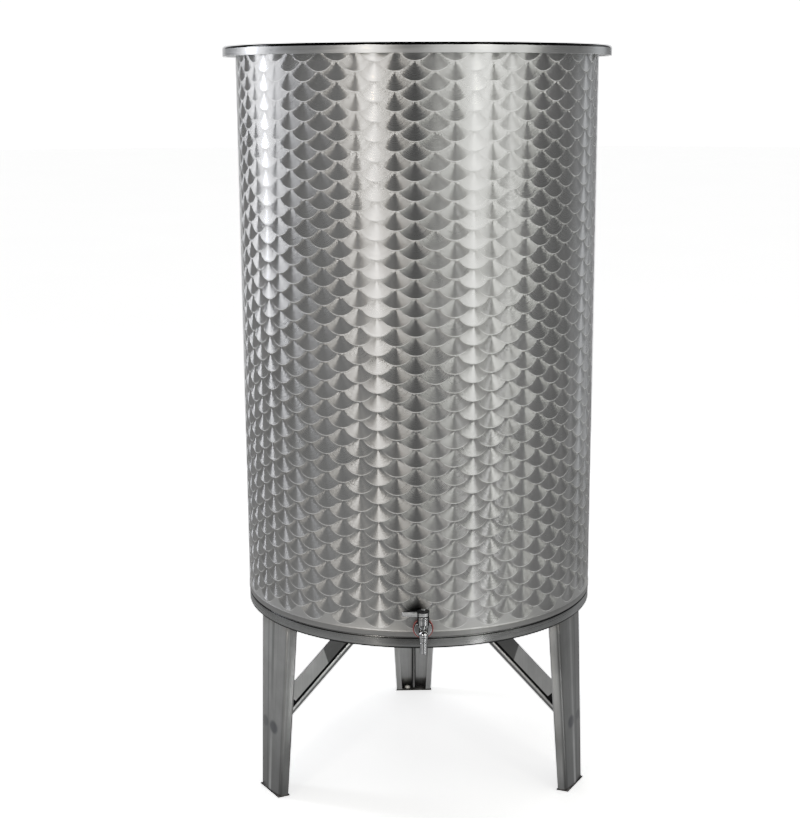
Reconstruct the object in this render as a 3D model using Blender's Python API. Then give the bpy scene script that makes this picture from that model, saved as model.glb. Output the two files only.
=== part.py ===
"""Floating lid wine tank: a rolled stainless drum on three welded legs.

Metres, +Z up, standing on the floor at Z = 0. The front, with the tap, faces -Y.
The drum's own axis lies a little behind the origin, because the origin is the
middle of the whole outline and the tap reaches out past the rim.
"""

import math

import bmesh
import bpy
from mathutils import Matrix, Vector

# Driving dimensions of the drum: a 2 m by 1 m sheet rolled up
DRUM_R = 0.3183
DRUM_H = 1.000
LEG_H = 0.330
WALL = 0.002
GAP = 0.0003
ROUND_STEPS = 72

# Rolled rim round the open top
RIM_R = 0.3407
RIM_LIP = 0.017
RIM_SHEET = 0.0015
RIM_BEND = 0.005

# Foot of the drum: pressed edge, groove, band and bottom
EDGE_TOP = 0.0305
EDGE_PROUD = 0.0006
GROOVE_TOP = 0.0195
GROOVE_LOW = 0.0175
BAND_PROUD = 0.0002
BOTTOM_FLANGE = 0.0180
BOTTOM_TOP = 0.0215

# Legs: folded channels, wide at the drum and narrow at the foot
LEG_AZIMUTHS = {"left": -60.0, "right": 60.0, "back": 180.0}
LEG_SHEET = 0.002
LEG_DEPTH = 0.020
LEG_LIP = 0.012
LEG_FACE_R = (0.3235, 0.3060)
LEG_FACE_HALF = (0.0350, 0.0500)
LEG_OPEN_HALF = (0.0370, 0.0560)
LEG_CREASE_HALF = (0.0095, 0.0190)
LEG_CREASE_PROUD = 0.0012
LEG_BEND = 0.004
LEG_BEND_STEPS = 3

# Feet: a thin pad under each leg and the screw that holds it
PAD_THICK = 0.003
PAD_MARGIN = 0.0008
SCREW_R = 0.0055
SCREW_H = 0.0050
SCREW_SIDE = 0.0136
SCREW_BACK = 0.0100

# Braces: a hemmed strip from the leg up to the middle of the bottom
BRACE_SHEET = 0.002
BRACE_WIDTH = 0.045
BRACE_SLOPE = 0.8436
BRACE_LOW_R = 0.2745
BRACE_LOW_Z = 0.1385
HEM_WIDTH = 0.008
HEM_DEPTH = 0.012
HEM_ROUND = 0.0025
RIB_DEPTH = 0.0180

# Tap: a degree off the line opposite the back leg, to the left seen from the front.
# Heights are above its own axis, reaches are out from the drum.
TAP_AZIMUTH = -1.0
TAP_Z = LEG_H + 0.0365
TAP_STEPS = 24
ELBOW_STEPS = 22
SOCKET_STEPS = 20
TAIL_R = 0.0104
HOLE_R = 0.0108
TAIL_IN = 0.0180
GASKET_R = 0.0175
GASKET_THICK = 0.0025
FLANGE_R = 0.0150
FLANGE_THICK = 0.0042
BARREL_R = 0.0076
NECK_R = 0.0063
STEM_REACH = 0.0200
SPOUT_REACH = 0.0360
SPOUT_R = 0.00635
SPOUT_BORE_R = 0.0050
SPOUT_END = -0.0320
SPOUT_TOP = -0.0103
ELBOW_R = 0.0083
SOCKET_R = 0.0070
BONNET_R = 0.0102
BONNET_LOW_R = 0.0086
BONNET_LOW = 0.0095
BONNET_TOP = 0.0275
BONNET_BORE = 0.0140
STEM_R = 0.0040
LEVER_LOW = 0.0295
LEVER_TOP = 0.0350
LEVER_SHEET = 0.0015
LEVER_REACH = 0.0365
LEVER_END_R = 0.0060
CAP_R = 0.0102
CAP_THICK = 0.0025
LEVER_SCREW_R = 0.0042
LEVER_SCREW_H = 0.0022
NUT_R = 0.0145
NUT_THICK = 0.0060
WASHER_THICK = 0.0020

# Floating lid: a steel dish with a rubber tube round its edge
LID_DEPTH = 0.200
LID_SHEET = 0.002
LID_EDGE_R = 0.3085
LID_WALL_R = 0.2840
LID_WALL_H = 0.0360
LID_TOP_R = 0.3060
TUBE_R = 0.0156
TUBE_STEPS = 12
VALVE_AZIMUTH = 150.0
VALVE_R = 0.0050
VALVE_COLLAR_R = 0.0085
VALVE_LENGTH = 0.0280
BREATHER_BASE_R = 0.0300
BREATHER_BODY_R = 0.0190
BREATHER_H = 0.0340
BREATHER_CAP_R = 0.0260
BREATHER_CAP_H = 0.0140
HANDLE_ROD_R = 0.0040
HANDLE_SPAN = 0.1200
HANDLE_H = 0.0480
HANDLE_BEND = 0.0180
HANDLE_OFFSET = 0.1700

# Heights that follow from them
RIM_TOP = LEG_H + DRUM_H
SHELL_TOP = RIM_TOP - RIM_SHEET - GAP
SHELL_IN = DRUM_R - WALL
BOTTOM_UNDER = LEG_H + BOTTOM_TOP - WALL
LEG_TOP = BOTTOM_UNDER - GAP
LEG_FOOT = PAD_THICK + GAP
LID_Z = RIM_TOP - LID_DEPTH
TAP_REACH = DRUM_R + SPOUT_REACH + ELBOW_R
AXIS_Y = (TAP_REACH - RIM_R) / 2


def clear_scene():
    """Start from nothing, whatever file this is run in."""
    for obj in list(bpy.data.objects):
        bpy.data.objects.remove(obj, do_unlink=True)


def make_material(name, colour, metallic, roughness):
    """A plain surface with its own colour, gloss and metal value."""
    material = bpy.data.materials.new(name)
    material.use_nodes = True
    shader = material.node_tree.nodes["Principled BSDF"]
    shader.inputs["Base Color"].default_value = (*colour, 1.0)
    shader.inputs["Metallic"].default_value = metallic
    shader.inputs["Roughness"].default_value = roughness
    material.diffuse_color = (*colour, 1.0)
    return material


def finish_mesh(name, bm, smooth_angle):
    """Close a bmesh into a mesh whose faces point out and whose curves are smooth."""
    bmesh.ops.remove_doubles(bm, verts=bm.verts, dist=1e-7)
    bmesh.ops.recalc_face_normals(bm, faces=bm.faces)
    mesh = bpy.data.meshes.new(name)
    bm.to_mesh(mesh)
    bm.free()
    mesh.shade_smooth()
    mesh.set_sharp_from_angle(angle=math.radians(smooth_angle))
    return mesh


def place(name, mesh, material, parent, location=(0, 0, 0), turn=(0, 0, 0)):
    """Put a mesh in the scene under its parent, turned by degrees about X, Y and Z."""
    obj = bpy.data.objects.new(name, mesh)
    obj.location = location
    obj.rotation_euler = [math.radians(angle) for angle in turn]
    obj.parent = parent
    mesh.materials.append(material)
    bpy.context.scene.collection.objects.link(obj)
    return obj


def make_guide(name, parent, location=(0, 0, 0), turn=(0, 0, 0)):
    """An empty that carries the pieces placed about one point."""
    guide = bpy.data.objects.new(name, None)
    guide.location = location
    guide.rotation_euler = [math.radians(angle) for angle in turn]
    guide.parent = parent
    bpy.context.scene.collection.objects.link(guide)
    return guide


def turned(name, profile, steps=ROUND_STEPS, smooth_angle=35):
    """Mesh turned about Z from (radius, height) points; a ring closes on itself."""
    bm = bmesh.new()
    verts = [bm.verts.new((radius, 0, height)) for radius, height in profile]
    meets_axis = profile[0][0] == 0 and profile[-1][0] == 0
    ends = verts[1:] if meets_axis else verts[1:] + verts[:1]
    for start, end in zip(verts, ends):
        bm.edges.new((start, end))
    bmesh.ops.spin(bm, geom=bm.verts[:] + bm.edges[:], cent=(0, 0, 0), axis=(0, 0, 1),
                   angle=math.tau, steps=steps, use_merge=True)
    return finish_mesh(name, bm, smooth_angle)


def lofted(name, lower, upper, smooth_angle=25):
    """Mesh between two outlines of as many points, closed at both ends."""
    bm = bmesh.new()
    low = [bm.verts.new(point) for point in lower]
    high = [bm.verts.new(point) for point in upper]
    bm.faces.new(low)
    bm.faces.new(high)
    count = len(low)
    for i in range(count):
        j = (i + 1) % count
        bm.faces.new((low[i], low[j], high[j], high[i]))
    return finish_mesh(name, bm, smooth_angle)


def arc(centre, radius, start, end, steps):
    """Points on an arc, from one angle in degrees to another."""
    points = []
    for i in range(steps + 1):
        angle = math.radians(start + (end - start) * i / steps)
        points.append((centre[0] + radius * math.cos(angle), centre[1] + radius * math.sin(angle)))
    return points


def rounded_line(points, radius, steps):
    """An open line with its sharp corners rounded off; shallow creases stay as they are."""
    line = [Vector(points[0])]
    for before, corner, after in zip(points, points[1:], points[2:]):
        corner = Vector(corner)
        back = (Vector(before) - corner).normalized()
        ahead = (Vector(after) - corner).normalized()
        turn = math.pi - back.angle(ahead)
        if turn < math.radians(20):
            line.append(corner)
            continue
        reach = radius * math.tan(turn / 2)
        middle = corner + (back + ahead).normalized() * math.hypot(reach, radius)
        first = corner + back * reach - middle
        side = 1 if back.x * ahead.y - back.y * ahead.x < 0 else -1
        for i in range(steps + 1):
            line.append(middle + Matrix.Rotation(side * turn * i / steps, 2) @ first)
    line.append(Vector(points[-1]))
    return line


def offset_line(line, distance):
    """The same line moved to its left by a distance, mitred at each point."""
    moved = []
    for i, point in enumerate(line):
        into = (point - line[i - 1]).normalized() if i > 0 else None
        out = (line[i + 1] - point).normalized() if i + 1 < len(line) else None
        into = into or out
        out = out or into
        along = (into + out).normalized()
        left = Vector((-along.y, along.x))
        moved.append(point + left * distance / along.dot(into))
    return moved


def cut_away(obj, name, mesh, parent, location=(0, 0, 0), turn=(0, 0, 0)):
    """Take the shape of a hidden cutter out of a piece."""
    cutter = bpy.data.objects.new(name, mesh)
    cutter.location = location
    cutter.rotation_euler = [math.radians(angle) for angle in turn]
    cutter.parent = parent
    cutter.hide_render = True
    cutter.display_type = "WIRE"
    bpy.context.scene.collection.objects.link(cutter)
    cut = obj.modifiers.new(name, "BOOLEAN")
    cut.operation = "DIFFERENCE"
    cut.solver = "EXACT"
    cut.object = cutter


def join_shape(obj, name, mesh, parent, location=(0, 0, 0), turn=(0, 0, 0)):
    """Fuse a hidden shape to a piece, as a casting or a weld does."""
    cut_away(obj, name, mesh, parent, location, turn)
    obj.modifiers[-1].operation = "UNION"


def make_shell(tank, steel):
    """The rolled wall, with its pressed lower edge and the hole for the tap."""
    low = LEG_H + GROOVE_TOP
    edge = LEG_H + EDGE_TOP
    profile = [
        (DRUM_R, SHELL_TOP),
        (DRUM_R, edge),
        (DRUM_R + EDGE_PROUD, edge - EDGE_PROUD),
        (DRUM_R + EDGE_PROUD, low),
        (SHELL_IN, low),
        (SHELL_IN, SHELL_TOP),
    ]
    shell = place("shell", turned("shell", profile), steel, tank)
    hole_length = 10 * WALL
    drill = turned("tap_hole", [(0, hole_length / 2), (HOLE_R, hole_length / 2),
                                (HOLE_R, -hole_length / 2), (0, -hole_length / 2)], TAP_STEPS)
    tap_turn = make_guide("hole_place", tank, turn=(0, 0, TAP_AZIMUTH))
    cut_away(shell, "tap_hole", drill, tap_turn, (0, -DRUM_R, TAP_Z), (90, 0, 0))


def make_rim(tank, steel):
    """The flange rolled out round the mouth and turned down into a lip."""
    centre = (RIM_R - RIM_BEND, RIM_TOP - RIM_BEND)
    inner = SHELL_IN
    lip = RIM_TOP - RIM_LIP
    profile = [(inner, RIM_TOP)]
    profile += arc(centre, RIM_BEND, 90, 0, 3)
    profile += [(RIM_R, lip), (RIM_R - RIM_SHEET, lip)]
    profile += arc(centre, RIM_BEND - RIM_SHEET, 0, 90, 3)
    profile += [(inner, RIM_TOP - RIM_SHEET)]
    place("top_rim", turned("top_rim", profile), steel, tank)


def make_base(tank, steel):
    """The band round the foot of the drum, and the bottom with its turned-down flange."""
    outer = DRUM_R + BAND_PROUD
    band = [(outer, LEG_H + GROOVE_LOW), (outer, LEG_H), (SHELL_IN, LEG_H), (SHELL_IN, LEG_H + GROOVE_LOW)]
    place("base_band", turned("base_band", band), steel, tank)
    radius = SHELL_IN - GAP
    top = LEG_H + BOTTOM_TOP
    flange = BOTTOM_UNDER - BOTTOM_FLANGE + WALL
    bottom = [(0, top), (radius, top), (radius, flange), (radius - WALL, flange),
              (radius - WALL, BOTTOM_UNDER), (0, BOTTOM_UNDER)]
    place("bottom_plate", turned("bottom_plate", bottom), steel, tank)


def at_height(pair, height):
    """A leg's size at a height, running straight from its foot to its top."""
    foot, top = pair
    return foot + (top - foot) * height / LEG_TOP


def leg_section(height):
    """The folded channel cut level: outer skin, then inner skin, as (across, -radius)."""
    face = at_height(LEG_FACE_R, height)
    half = at_height(LEG_FACE_HALF, height)
    open_half = at_height(LEG_OPEN_HALF, height)
    crease = at_height(LEG_CREASE_HALF, height)
    right = [(open_half - LEG_LIP, face - LEG_DEPTH), (open_half, face - LEG_DEPTH),
             (half, face), (crease, face + LEG_CREASE_PROUD)]
    left = [(-across, radius) for across, radius in reversed(right)]
    skin = rounded_line(right + left, LEG_BEND, LEG_BEND_STEPS)
    outline = skin + offset_line(skin, LEG_SHEET)[::-1]
    return [(point.x, -point.y, height) for point in outline]


def make_leg(side, azimuth, tank, steel):
    """One folded leg, tucked inside the band and welded under the bottom."""
    mesh = lofted("leg_" + side, leg_section(LEG_FOOT), leg_section(LEG_TOP))
    place("leg_" + side, mesh, steel, tank, turn=(0, 0, azimuth))


def make_pad(side, azimuth, tank, rubber, steel):
    """The dark pad under a leg, and the head of the screw through it."""
    face = LEG_FACE_R[0] + LEG_CREASE_PROUD + PAD_MARGIN
    back = LEG_FACE_R[0] - LEG_DEPTH - PAD_MARGIN
    half = LEG_FACE_HALF[0] + PAD_MARGIN
    open_half = LEG_OPEN_HALF[0] + PAD_MARGIN
    outline = [(-half, -face), (half, -face), (open_half, -back), (-open_half, -back)]
    low = [(x, y, 0) for x, y in outline]
    high = [(x, y, PAD_THICK) for x, y in outline]
    place("foot_pad_" + side, lofted("foot_pad_" + side, low, high), rubber, tank, turn=(0, 0, azimuth))
    foot = make_guide("foot_" + side, tank, turn=(0, 0, azimuth))
    dome = [(0, SCREW_H), (SCREW_R * 0.55, SCREW_H * 0.92), (SCREW_R * 0.9, SCREW_H * 0.6),
            (SCREW_R, SCREW_H * 0.2), (SCREW_R, 0), (0, 0)]
    seat = (SCREW_SIDE, -(LEG_FACE_R[0] - SCREW_BACK), PAD_THICK + GAP)
    place("foot_screw_" + side, turned("foot_screw_" + side, dome, 12), steel, foot, seat)


def brace_edge(height):
    """Radius of the brace's lower edge at a height, down to where the rib starts."""
    return BRACE_LOW_R - (height - BRACE_LOW_Z) / BRACE_SLOPE


def rib_edge(height):
    """Radius of the edge of the upright rib that runs down inside the leg."""
    return at_height(LEG_FACE_R, height) - RIB_DEPTH


def brace_knee():
    """Height where the sloping lower edge runs into the upright rib."""
    low, high = LEG_FOOT, LEG_TOP
    for _ in range(40):
        middle = (low + high) / 2
        if brace_edge(middle) > rib_edge(middle):
            low = middle
        else:
            high = middle
    return low


def brace_line(inset):
    """The brace's free edge from the foot to the bottom, moved in from the edge."""
    knee = brace_knee()
    slant = math.hypot(1, BRACE_SLOPE)
    edge = [Vector((rib_edge(LEG_FOOT), LEG_FOOT)), Vector((rib_edge(knee), knee)),
            Vector((brace_edge(LEG_TOP), LEG_TOP))]
    moved = offset_line(edge, -inset)
    moved[0].y = LEG_FOOT
    moved[2].x += (LEG_TOP - moved[2].y) * -1 / BRACE_SLOPE
    moved[2].y = LEG_TOP
    return moved, slant


def brace_mesh(name, outline, width):
    """A flat outline in the leg's own upright plane, given a width across it."""
    near = [(-width / 2, -radius, height) for radius, height in outline]
    far = [(width / 2, -radius, height) for radius, height in outline]
    return lofted(name, near, far)


def make_brace(side, azimuth, tank, steel):
    """One brace: a strip from mid leg to the bottom, its free edge hemmed, and its rib."""
    edge, slant = brace_line(HEM_DEPTH / 4)
    rise = BRACE_WIDTH * slant
    back_top = LEG_FACE_R[0] - LEG_SHEET - 2 * GAP
    meet = LEG_TOP
    for _ in range(60):
        back = at_height(LEG_FACE_R, meet) - LEG_SHEET - 2 * GAP
        meet = BRACE_LOW_Z + (BRACE_LOW_R - back) * BRACE_SLOPE + rise
    back = at_height(LEG_FACE_R, meet) - LEG_SHEET - 2 * GAP
    upper = BRACE_LOW_R - (LEG_TOP - rise - BRACE_LOW_Z) / BRACE_SLOPE
    web = [tuple(point) for point in edge]
    web += [(upper, LEG_TOP), (back, meet), (back_top, LEG_FOOT)]
    brace = place("brace_" + side, brace_mesh("brace_" + side, web, BRACE_SHEET), steel, tank,
                  turn=(0, 0, azimuth))
    outer, _ = brace_line(0)
    inner, _ = brace_line(HEM_DEPTH)
    hem = [tuple(point) for point in outer + inner[::-1]]
    mesh = brace_mesh("hem_" + side, hem, HEM_WIDTH)
    join_shape(brace, "hem_" + side, mesh, tank, turn=(0, 0, azimuth))
    round_off = bpy.data.objects["hem_" + side].modifiers.new("round", "BEVEL")
    round_off.width = HEM_ROUND
    round_off.segments = 2
    round_off.limit_method = "ANGLE"
    round_off.angle_limit = math.radians(60)


def disc(name, radius, low, high, steps=TAP_STEPS):
    """A plain round piece between two heights."""
    return turned(name, [(0, high), (radius, high), (radius, low), (0, low)], steps)


def ring(name, inner, outer, low, high, steps=TAP_STEPS):
    """A plain round piece with a hole through it."""
    return turned(name, [(outer, high), (outer, low), (inner, low), (inner, high)], steps)


def make_tap_seat(tap, chrome, red, steel):
    """The threaded tail through the wall with its flange, gasket, washer and nut."""
    out = (90, 0, 0)
    gasket_low = EDGE_PROUD + GAP
    gasket_high = gasket_low + GASKET_THICK
    place("tap_gasket", ring("tap_gasket", HOLE_R, GASKET_R, gasket_low, gasket_high), red, tap, turn=out)
    low = gasket_high + GAP
    high = low + FLANGE_THICK
    soft = 0.0008
    tail = [(0, high), (FLANGE_R - soft, high), (FLANGE_R, high - soft), (FLANGE_R, low), (TAIL_R, low),
            (TAIL_R, -TAIL_IN), (0, -TAIL_IN)]
    place("tap_flange", turned("tap_flange", tail, TAP_STEPS), chrome, tap, turn=out)
    washer = WALL + 3 * GAP
    mesh = ring("tap_washer", HOLE_R, NUT_R, -washer - WASHER_THICK, -washer)
    place("tap_washer", mesh, red, tap, turn=out)
    nut = washer + WASHER_THICK + GAP
    nut_piece = place("tap_nut", disc("tap_nut", NUT_R, -nut - NUT_THICK, -nut, 6), steel, tap, turn=out)
    thread = disc("nut_thread", HOLE_R, -nut - 2 * NUT_THICK, -nut + NUT_THICK)
    cut_away(nut_piece, "nut_thread", thread, tap, turn=out)


def make_tap_body(tap, chrome):
    """The cast body: a barrel out from the wall, a neck for the plug and a round elbow."""
    start = EDGE_PROUD + 3 * GAP + GASKET_THICK + FLANGE_THICK
    body = place("tap_body", disc("tap_body", BARREL_R, start, SPOUT_REACH), chrome, tap, turn=(90, 0, 0))
    neck = disc("tap_neck", NECK_R, 0, BONNET_LOW - GAP, SOCKET_STEPS)
    half_step = (0, 0, 180 / SOCKET_STEPS)
    join_shape(body, "tap_neck", neck, tap, (0, -STEM_REACH, 0), half_step)
    ball = [(0, ELBOW_R)] + arc((0, 0), ELBOW_R, 90, -90, 11)[1:-1] + [(0, -ELBOW_R)]
    elbow = turned("tap_elbow", ball, ELBOW_STEPS)
    join_shape(body, "tap_elbow", elbow, tap, (0, -SPOUT_REACH, 0))
    socket = disc("tap_socket", SOCKET_R, SPOUT_TOP + GAP, 0, SOCKET_STEPS)
    join_shape(body, "tap_socket", socket, tap, (0, -SPOUT_REACH, 0), half_step)


def make_tap_outlet(tap, chrome):
    """The bonnet over the plug and the open spout under the elbow."""
    bevel = 0.0035
    floor = BONNET_TOP - BONNET_BORE
    bore = STEM_R + GAP
    bonnet = [(0, floor), (bore, floor), (bore, BONNET_TOP), (BONNET_R, BONNET_TOP),
              (BONNET_R, BONNET_LOW + bevel), (BONNET_LOW_R, BONNET_LOW), (0, BONNET_LOW)]
    place("tap_bonnet", turned("tap_bonnet", bonnet, TAP_STEPS), chrome, tap, (0, -STEM_REACH, 0))
    spout = ring("tap_spout", SPOUT_BORE_R, SPOUT_R, SPOUT_END, SPOUT_TOP)
    place("tap_spout", spout, chrome, tap, (0, -SPOUT_REACH, 0))


def lever_outline():
    """The lever seen from above: a round hub drawn out to a narrower rounded end."""
    span = LEVER_REACH - LEVER_END_R
    lean = math.degrees(math.acos((CAP_R - LEVER_END_R) / span))
    hub = arc((0, 0), CAP_R, lean - 180, 180 - lean, 14)
    end = arc((-span, 0), LEVER_END_R, 180 - lean, 180 + lean, 8)
    return hub + end


def make_lever(tap, chrome, black):
    """The turning pieces, about the upright stem: stem, pressed lever, cap and screw."""
    turn = make_guide("lever_axis", tap, (0, -STEM_REACH, 0))
    stem_low = BONNET_TOP - BONNET_BORE + GAP
    stem_high = LEVER_TOP - LEVER_SHEET - GAP
    place("tap_stem", disc("tap_stem", STEM_R, stem_low, stem_high), chrome, turn)
    outline = lever_outline()
    bm = bmesh.new()
    under = bm.faces.new([bm.verts.new((x, y, LEVER_LOW)) for x, y in outline])
    extruded = bmesh.ops.extrude_face_region(bm, geom=[under], use_keep_orig=True)
    raised = [item for item in extruded["geom"] if isinstance(item, bmesh.types.BMVert)]
    bmesh.ops.translate(bm, verts=raised, vec=(0, 0, LEVER_TOP - LEVER_LOW))
    bmesh.ops.inset_region(bm, faces=[under], thickness=LEVER_SHEET, use_even_offset=True)
    hollow = LEVER_TOP - LEVER_SHEET - LEVER_LOW
    dish = bmesh.ops.extrude_discrete_faces(bm, faces=[under])["faces"][0]
    bmesh.ops.translate(bm, verts=dish.verts[:], vec=(0, 0, hollow))
    place("tap_lever", finish_mesh("tap_lever", bm, 35), chrome, turn)
    cap_low = LEVER_TOP + GAP
    cap_high = cap_low + CAP_THICK
    place("tap_cap", disc("tap_cap", CAP_R, cap_low, cap_high), black, turn)
    screw = disc("tap_screw", LEVER_SCREW_R, cap_high + GAP, cap_high + GAP + LEVER_SCREW_H, 6)
    place("tap_screw", screw, chrome, turn)


def make_lid(tank, steel, rubber):
    """The dish that floats on the wine, a floor and a wall, and the air tube that grips the drum."""
    sheet = LID_SHEET
    lid = make_guide("lid", tank, (0, 0, LID_Z))
    place("lid_floor", disc("lid_floor", LID_EDGE_R, 0, sheet, ROUND_STEPS), steel, lid)
    wall = [(LID_WALL_R - sheet, sheet + GAP), (LID_WALL_R - sheet, LID_WALL_H), (LID_TOP_R, LID_WALL_H),
            (LID_TOP_R, LID_WALL_H - sheet), (LID_WALL_R, LID_WALL_H - sheet), (LID_WALL_R, sheet + GAP)]
    place("lid_wall", turned("lid_wall", wall), steel, lid)
    middle = (SHELL_IN - GAP - TUBE_R, LID_WALL_H / 2)
    section = arc(middle, TUBE_R, 90, -270, TUBE_STEPS)[:-1]
    place("lid_tube", turned("lid_tube", section), rubber, lid)
    return lid


def make_lid_valves(lid, chrome, black, steel):
    """The tube's air valve on the dish's wall, and the breather in the middle."""
    inlet = make_guide("air_inlet", lid, (0, 0, LID_WALL_H / 2), (0, 0, VALVE_AZIMUTH))
    root = LID_WALL_R - LID_SHEET - 2 * GAP
    profile = [(0, VALVE_LENGTH), (VALVE_R, VALVE_LENGTH), (VALVE_R, 0.006), (VALVE_COLLAR_R, 0.006),
               (VALVE_COLLAR_R, 0), (0, 0)]
    place("air_valve", turned("air_valve", profile, TAP_STEPS), chrome, inlet, (0, -root, 0), (-90, 0, 0))
    floor = LID_SHEET + GAP
    base = 0.006
    body = [(0, floor + BREATHER_H), (BREATHER_BODY_R, floor + BREATHER_H), (BREATHER_BODY_R, floor + base),
            (BREATHER_BASE_R, floor + base), (BREATHER_BASE_R, floor), (0, floor)]
    place("breather_body", turned("breather_body", body, TAP_STEPS), steel, lid)
    low = floor + BREATHER_H + GAP
    soft = 0.004
    cap = [(0, low + BREATHER_CAP_H), (BREATHER_CAP_R - soft, low + BREATHER_CAP_H),
           (BREATHER_CAP_R, low + BREATHER_CAP_H - soft), (BREATHER_CAP_R, low), (0, low)]
    place("breather_cap", turned("breather_cap", cap, TAP_STEPS), black, lid)


def make_handle(name, side, lid, steel):
    """A bent rod that stands on the dish, for lifting the lid."""
    floor = LID_SHEET + GAP
    half = HANDLE_SPAN / 2
    crown = floor + HANDLE_H - HANDLE_ROD_R
    right = arc((half - HANDLE_BEND, crown - HANDLE_BEND), HANDLE_BEND, 0, 90, 5)
    left = arc((HANDLE_BEND - half, crown - HANDLE_BEND), HANDLE_BEND, 90, 180, 5)
    route = [(half, floor)] + right + left + [(-half, floor)]
    curve = bpy.data.curves.new(name, "CURVE")
    curve.dimensions = "3D"
    curve.bevel_depth = HANDLE_ROD_R
    curve.bevel_resolution = 2
    curve.use_fill_caps = True
    spline = curve.splines.new("POLY")
    spline.points.add(len(route) - 1)
    for point, (across, height) in zip(spline.points, route):
        point.co = (across, 0, height, 1)
    place(name, curve, steel, lid, (0, side * HANDLE_OFFSET, 0))


def main():
    """Make the tank, piece by piece, from the drum to the lid."""
    clear_scene()
    turned_steel = make_material("engine_turned_steel", (0.55, 0.56, 0.56), 1.0, 0.32)
    plain_steel = make_material("brushed_steel", (0.47, 0.49, 0.50), 1.0, 0.28)
    chrome = make_material("chrome", (0.70, 0.71, 0.72), 1.0, 0.12)
    black = make_material("black_plastic", (0.02, 0.02, 0.02), 0.0, 0.40)
    pad_rubber = make_material("pad_rubber", (0.03, 0.03, 0.03), 0.0, 0.70)
    red = make_material("red_gasket", (0.55, 0.08, 0.07), 0.0, 0.55)
    tube_rubber = make_material("tube_rubber", (0.72, 0.72, 0.70), 0.0, 0.60)

    tank = make_guide("tank_axis", None, (0, AXIS_Y, 0))
    make_shell(tank, turned_steel)
    make_rim(tank, plain_steel)
    make_base(tank, plain_steel)
    for side, azimuth in LEG_AZIMUTHS.items():
        make_leg(side, azimuth, tank, plain_steel)
        make_brace(side, azimuth, tank, plain_steel)
        make_pad(side, azimuth, tank, pad_rubber, chrome)

    tap_turn = make_guide("tap_place", tank, turn=(0, 0, TAP_AZIMUTH))
    tap = make_guide("tap_axis", tap_turn, (0, -DRUM_R, TAP_Z))
    make_tap_seat(tap, chrome, red, plain_steel)
    make_tap_body(tap, chrome)
    make_tap_outlet(tap, chrome)
    make_lever(tap, chrome, black)

    lid = make_lid(tank, plain_steel, tube_rubber)
    make_lid_valves(lid, chrome, black, plain_steel)
    make_handle("lid_handle_front", -1, lid, plain_steel)
    make_handle("lid_handle_back", 1, lid, plain_steel)


main()
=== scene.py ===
"""Floating lid wine tank, finished: engine-turned drum, folded legs, lever tap and lid.

Metres, +Z up, with the tap on the -Y side. The solids come in as a fixed frame. Each piece
made here is modelled about the drum's own axis, set down in the tank, and rides on its body.
"""

import math

import bmesh
import bpy
from bpy.props import FloatProperty, FloatVectorProperty, IntProperty, PointerProperty
from mathutils import Matrix, Vector


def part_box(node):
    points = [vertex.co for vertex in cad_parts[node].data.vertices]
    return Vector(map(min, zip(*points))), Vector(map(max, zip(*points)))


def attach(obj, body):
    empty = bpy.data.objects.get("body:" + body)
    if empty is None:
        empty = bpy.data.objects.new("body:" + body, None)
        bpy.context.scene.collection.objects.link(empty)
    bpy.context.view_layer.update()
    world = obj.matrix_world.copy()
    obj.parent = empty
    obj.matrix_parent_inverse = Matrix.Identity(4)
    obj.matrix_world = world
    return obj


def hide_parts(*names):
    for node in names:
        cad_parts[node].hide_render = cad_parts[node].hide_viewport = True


bl_info = {
    "name": "Floating lid wine tank",
    "version": (1, 0, 0),
    "blender": (4, 5, 0),
    "location": "3D View > Sidebar > Wine Tank",
    "description": "Dresses the wine tank's solids with its finished pieces and materials",
    "category": "Object",
}

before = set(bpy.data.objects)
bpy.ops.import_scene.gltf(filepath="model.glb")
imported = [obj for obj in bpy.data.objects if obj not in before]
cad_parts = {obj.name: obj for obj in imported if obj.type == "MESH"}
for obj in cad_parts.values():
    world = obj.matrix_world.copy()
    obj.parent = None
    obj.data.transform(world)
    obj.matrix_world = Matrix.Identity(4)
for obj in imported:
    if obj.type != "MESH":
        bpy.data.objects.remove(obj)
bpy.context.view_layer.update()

# Bodies of the frame
TANK = "tank"
LEVER = "lever"


def half_width(node):
    """Half the width of a node along X, which is its radius when it is round."""
    low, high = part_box(node)
    return (high.x - low.x) / 2


def heights(node):
    """Lowest and highest Z of a node."""
    low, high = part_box(node)
    return low.z, high.z


# Places and sizes taken from the solids
AXIS_Y = sum(corner.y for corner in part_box("top_rim")) / 2
RIM_R = half_width("top_rim")
RIM_LOW, RIM_TOP = heights("top_rim")
BAND_R = half_width("base_band")
BAND_LOW, BAND_TOP = heights("base_band")
EDGE_R = half_width("shell")
EDGE_LOW, SHELL_TOP = heights("shell")
BOTTOM_R = half_width("bottom_plate")
BOTTOM_LOW, BOTTOM_TOP = heights("bottom_plate")
LEG_FOOT, LEG_TOP = heights("leg_back")
PAD_TOP = heights("foot_pad_back")[1]
LID_LOW, LID_SHEET_TOP = heights("lid_floor")
LID_EDGE_R = half_width("lid_floor")
LID_BRIM_R = half_width("lid_wall")
LID_BRIM_TOP = heights("lid_wall")[1]
GAP = LEG_FOOT - PAD_TOP
DRUM_R = BAND_R - 0.0002
WALL = 0.0020
WALL_IN = DRUM_R - WALL
EDGE_TOP = BAND_LOW + 0.0305

# Lid: its sheet, its wall's outer radius, and the air tube round it
LID_SHEET = 0.0020
LID_WALL_R = 0.2840
TUBE_R = 0.0156
TUBE_Z = (LID_LOW + LID_BRIM_TOP) / 2

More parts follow.
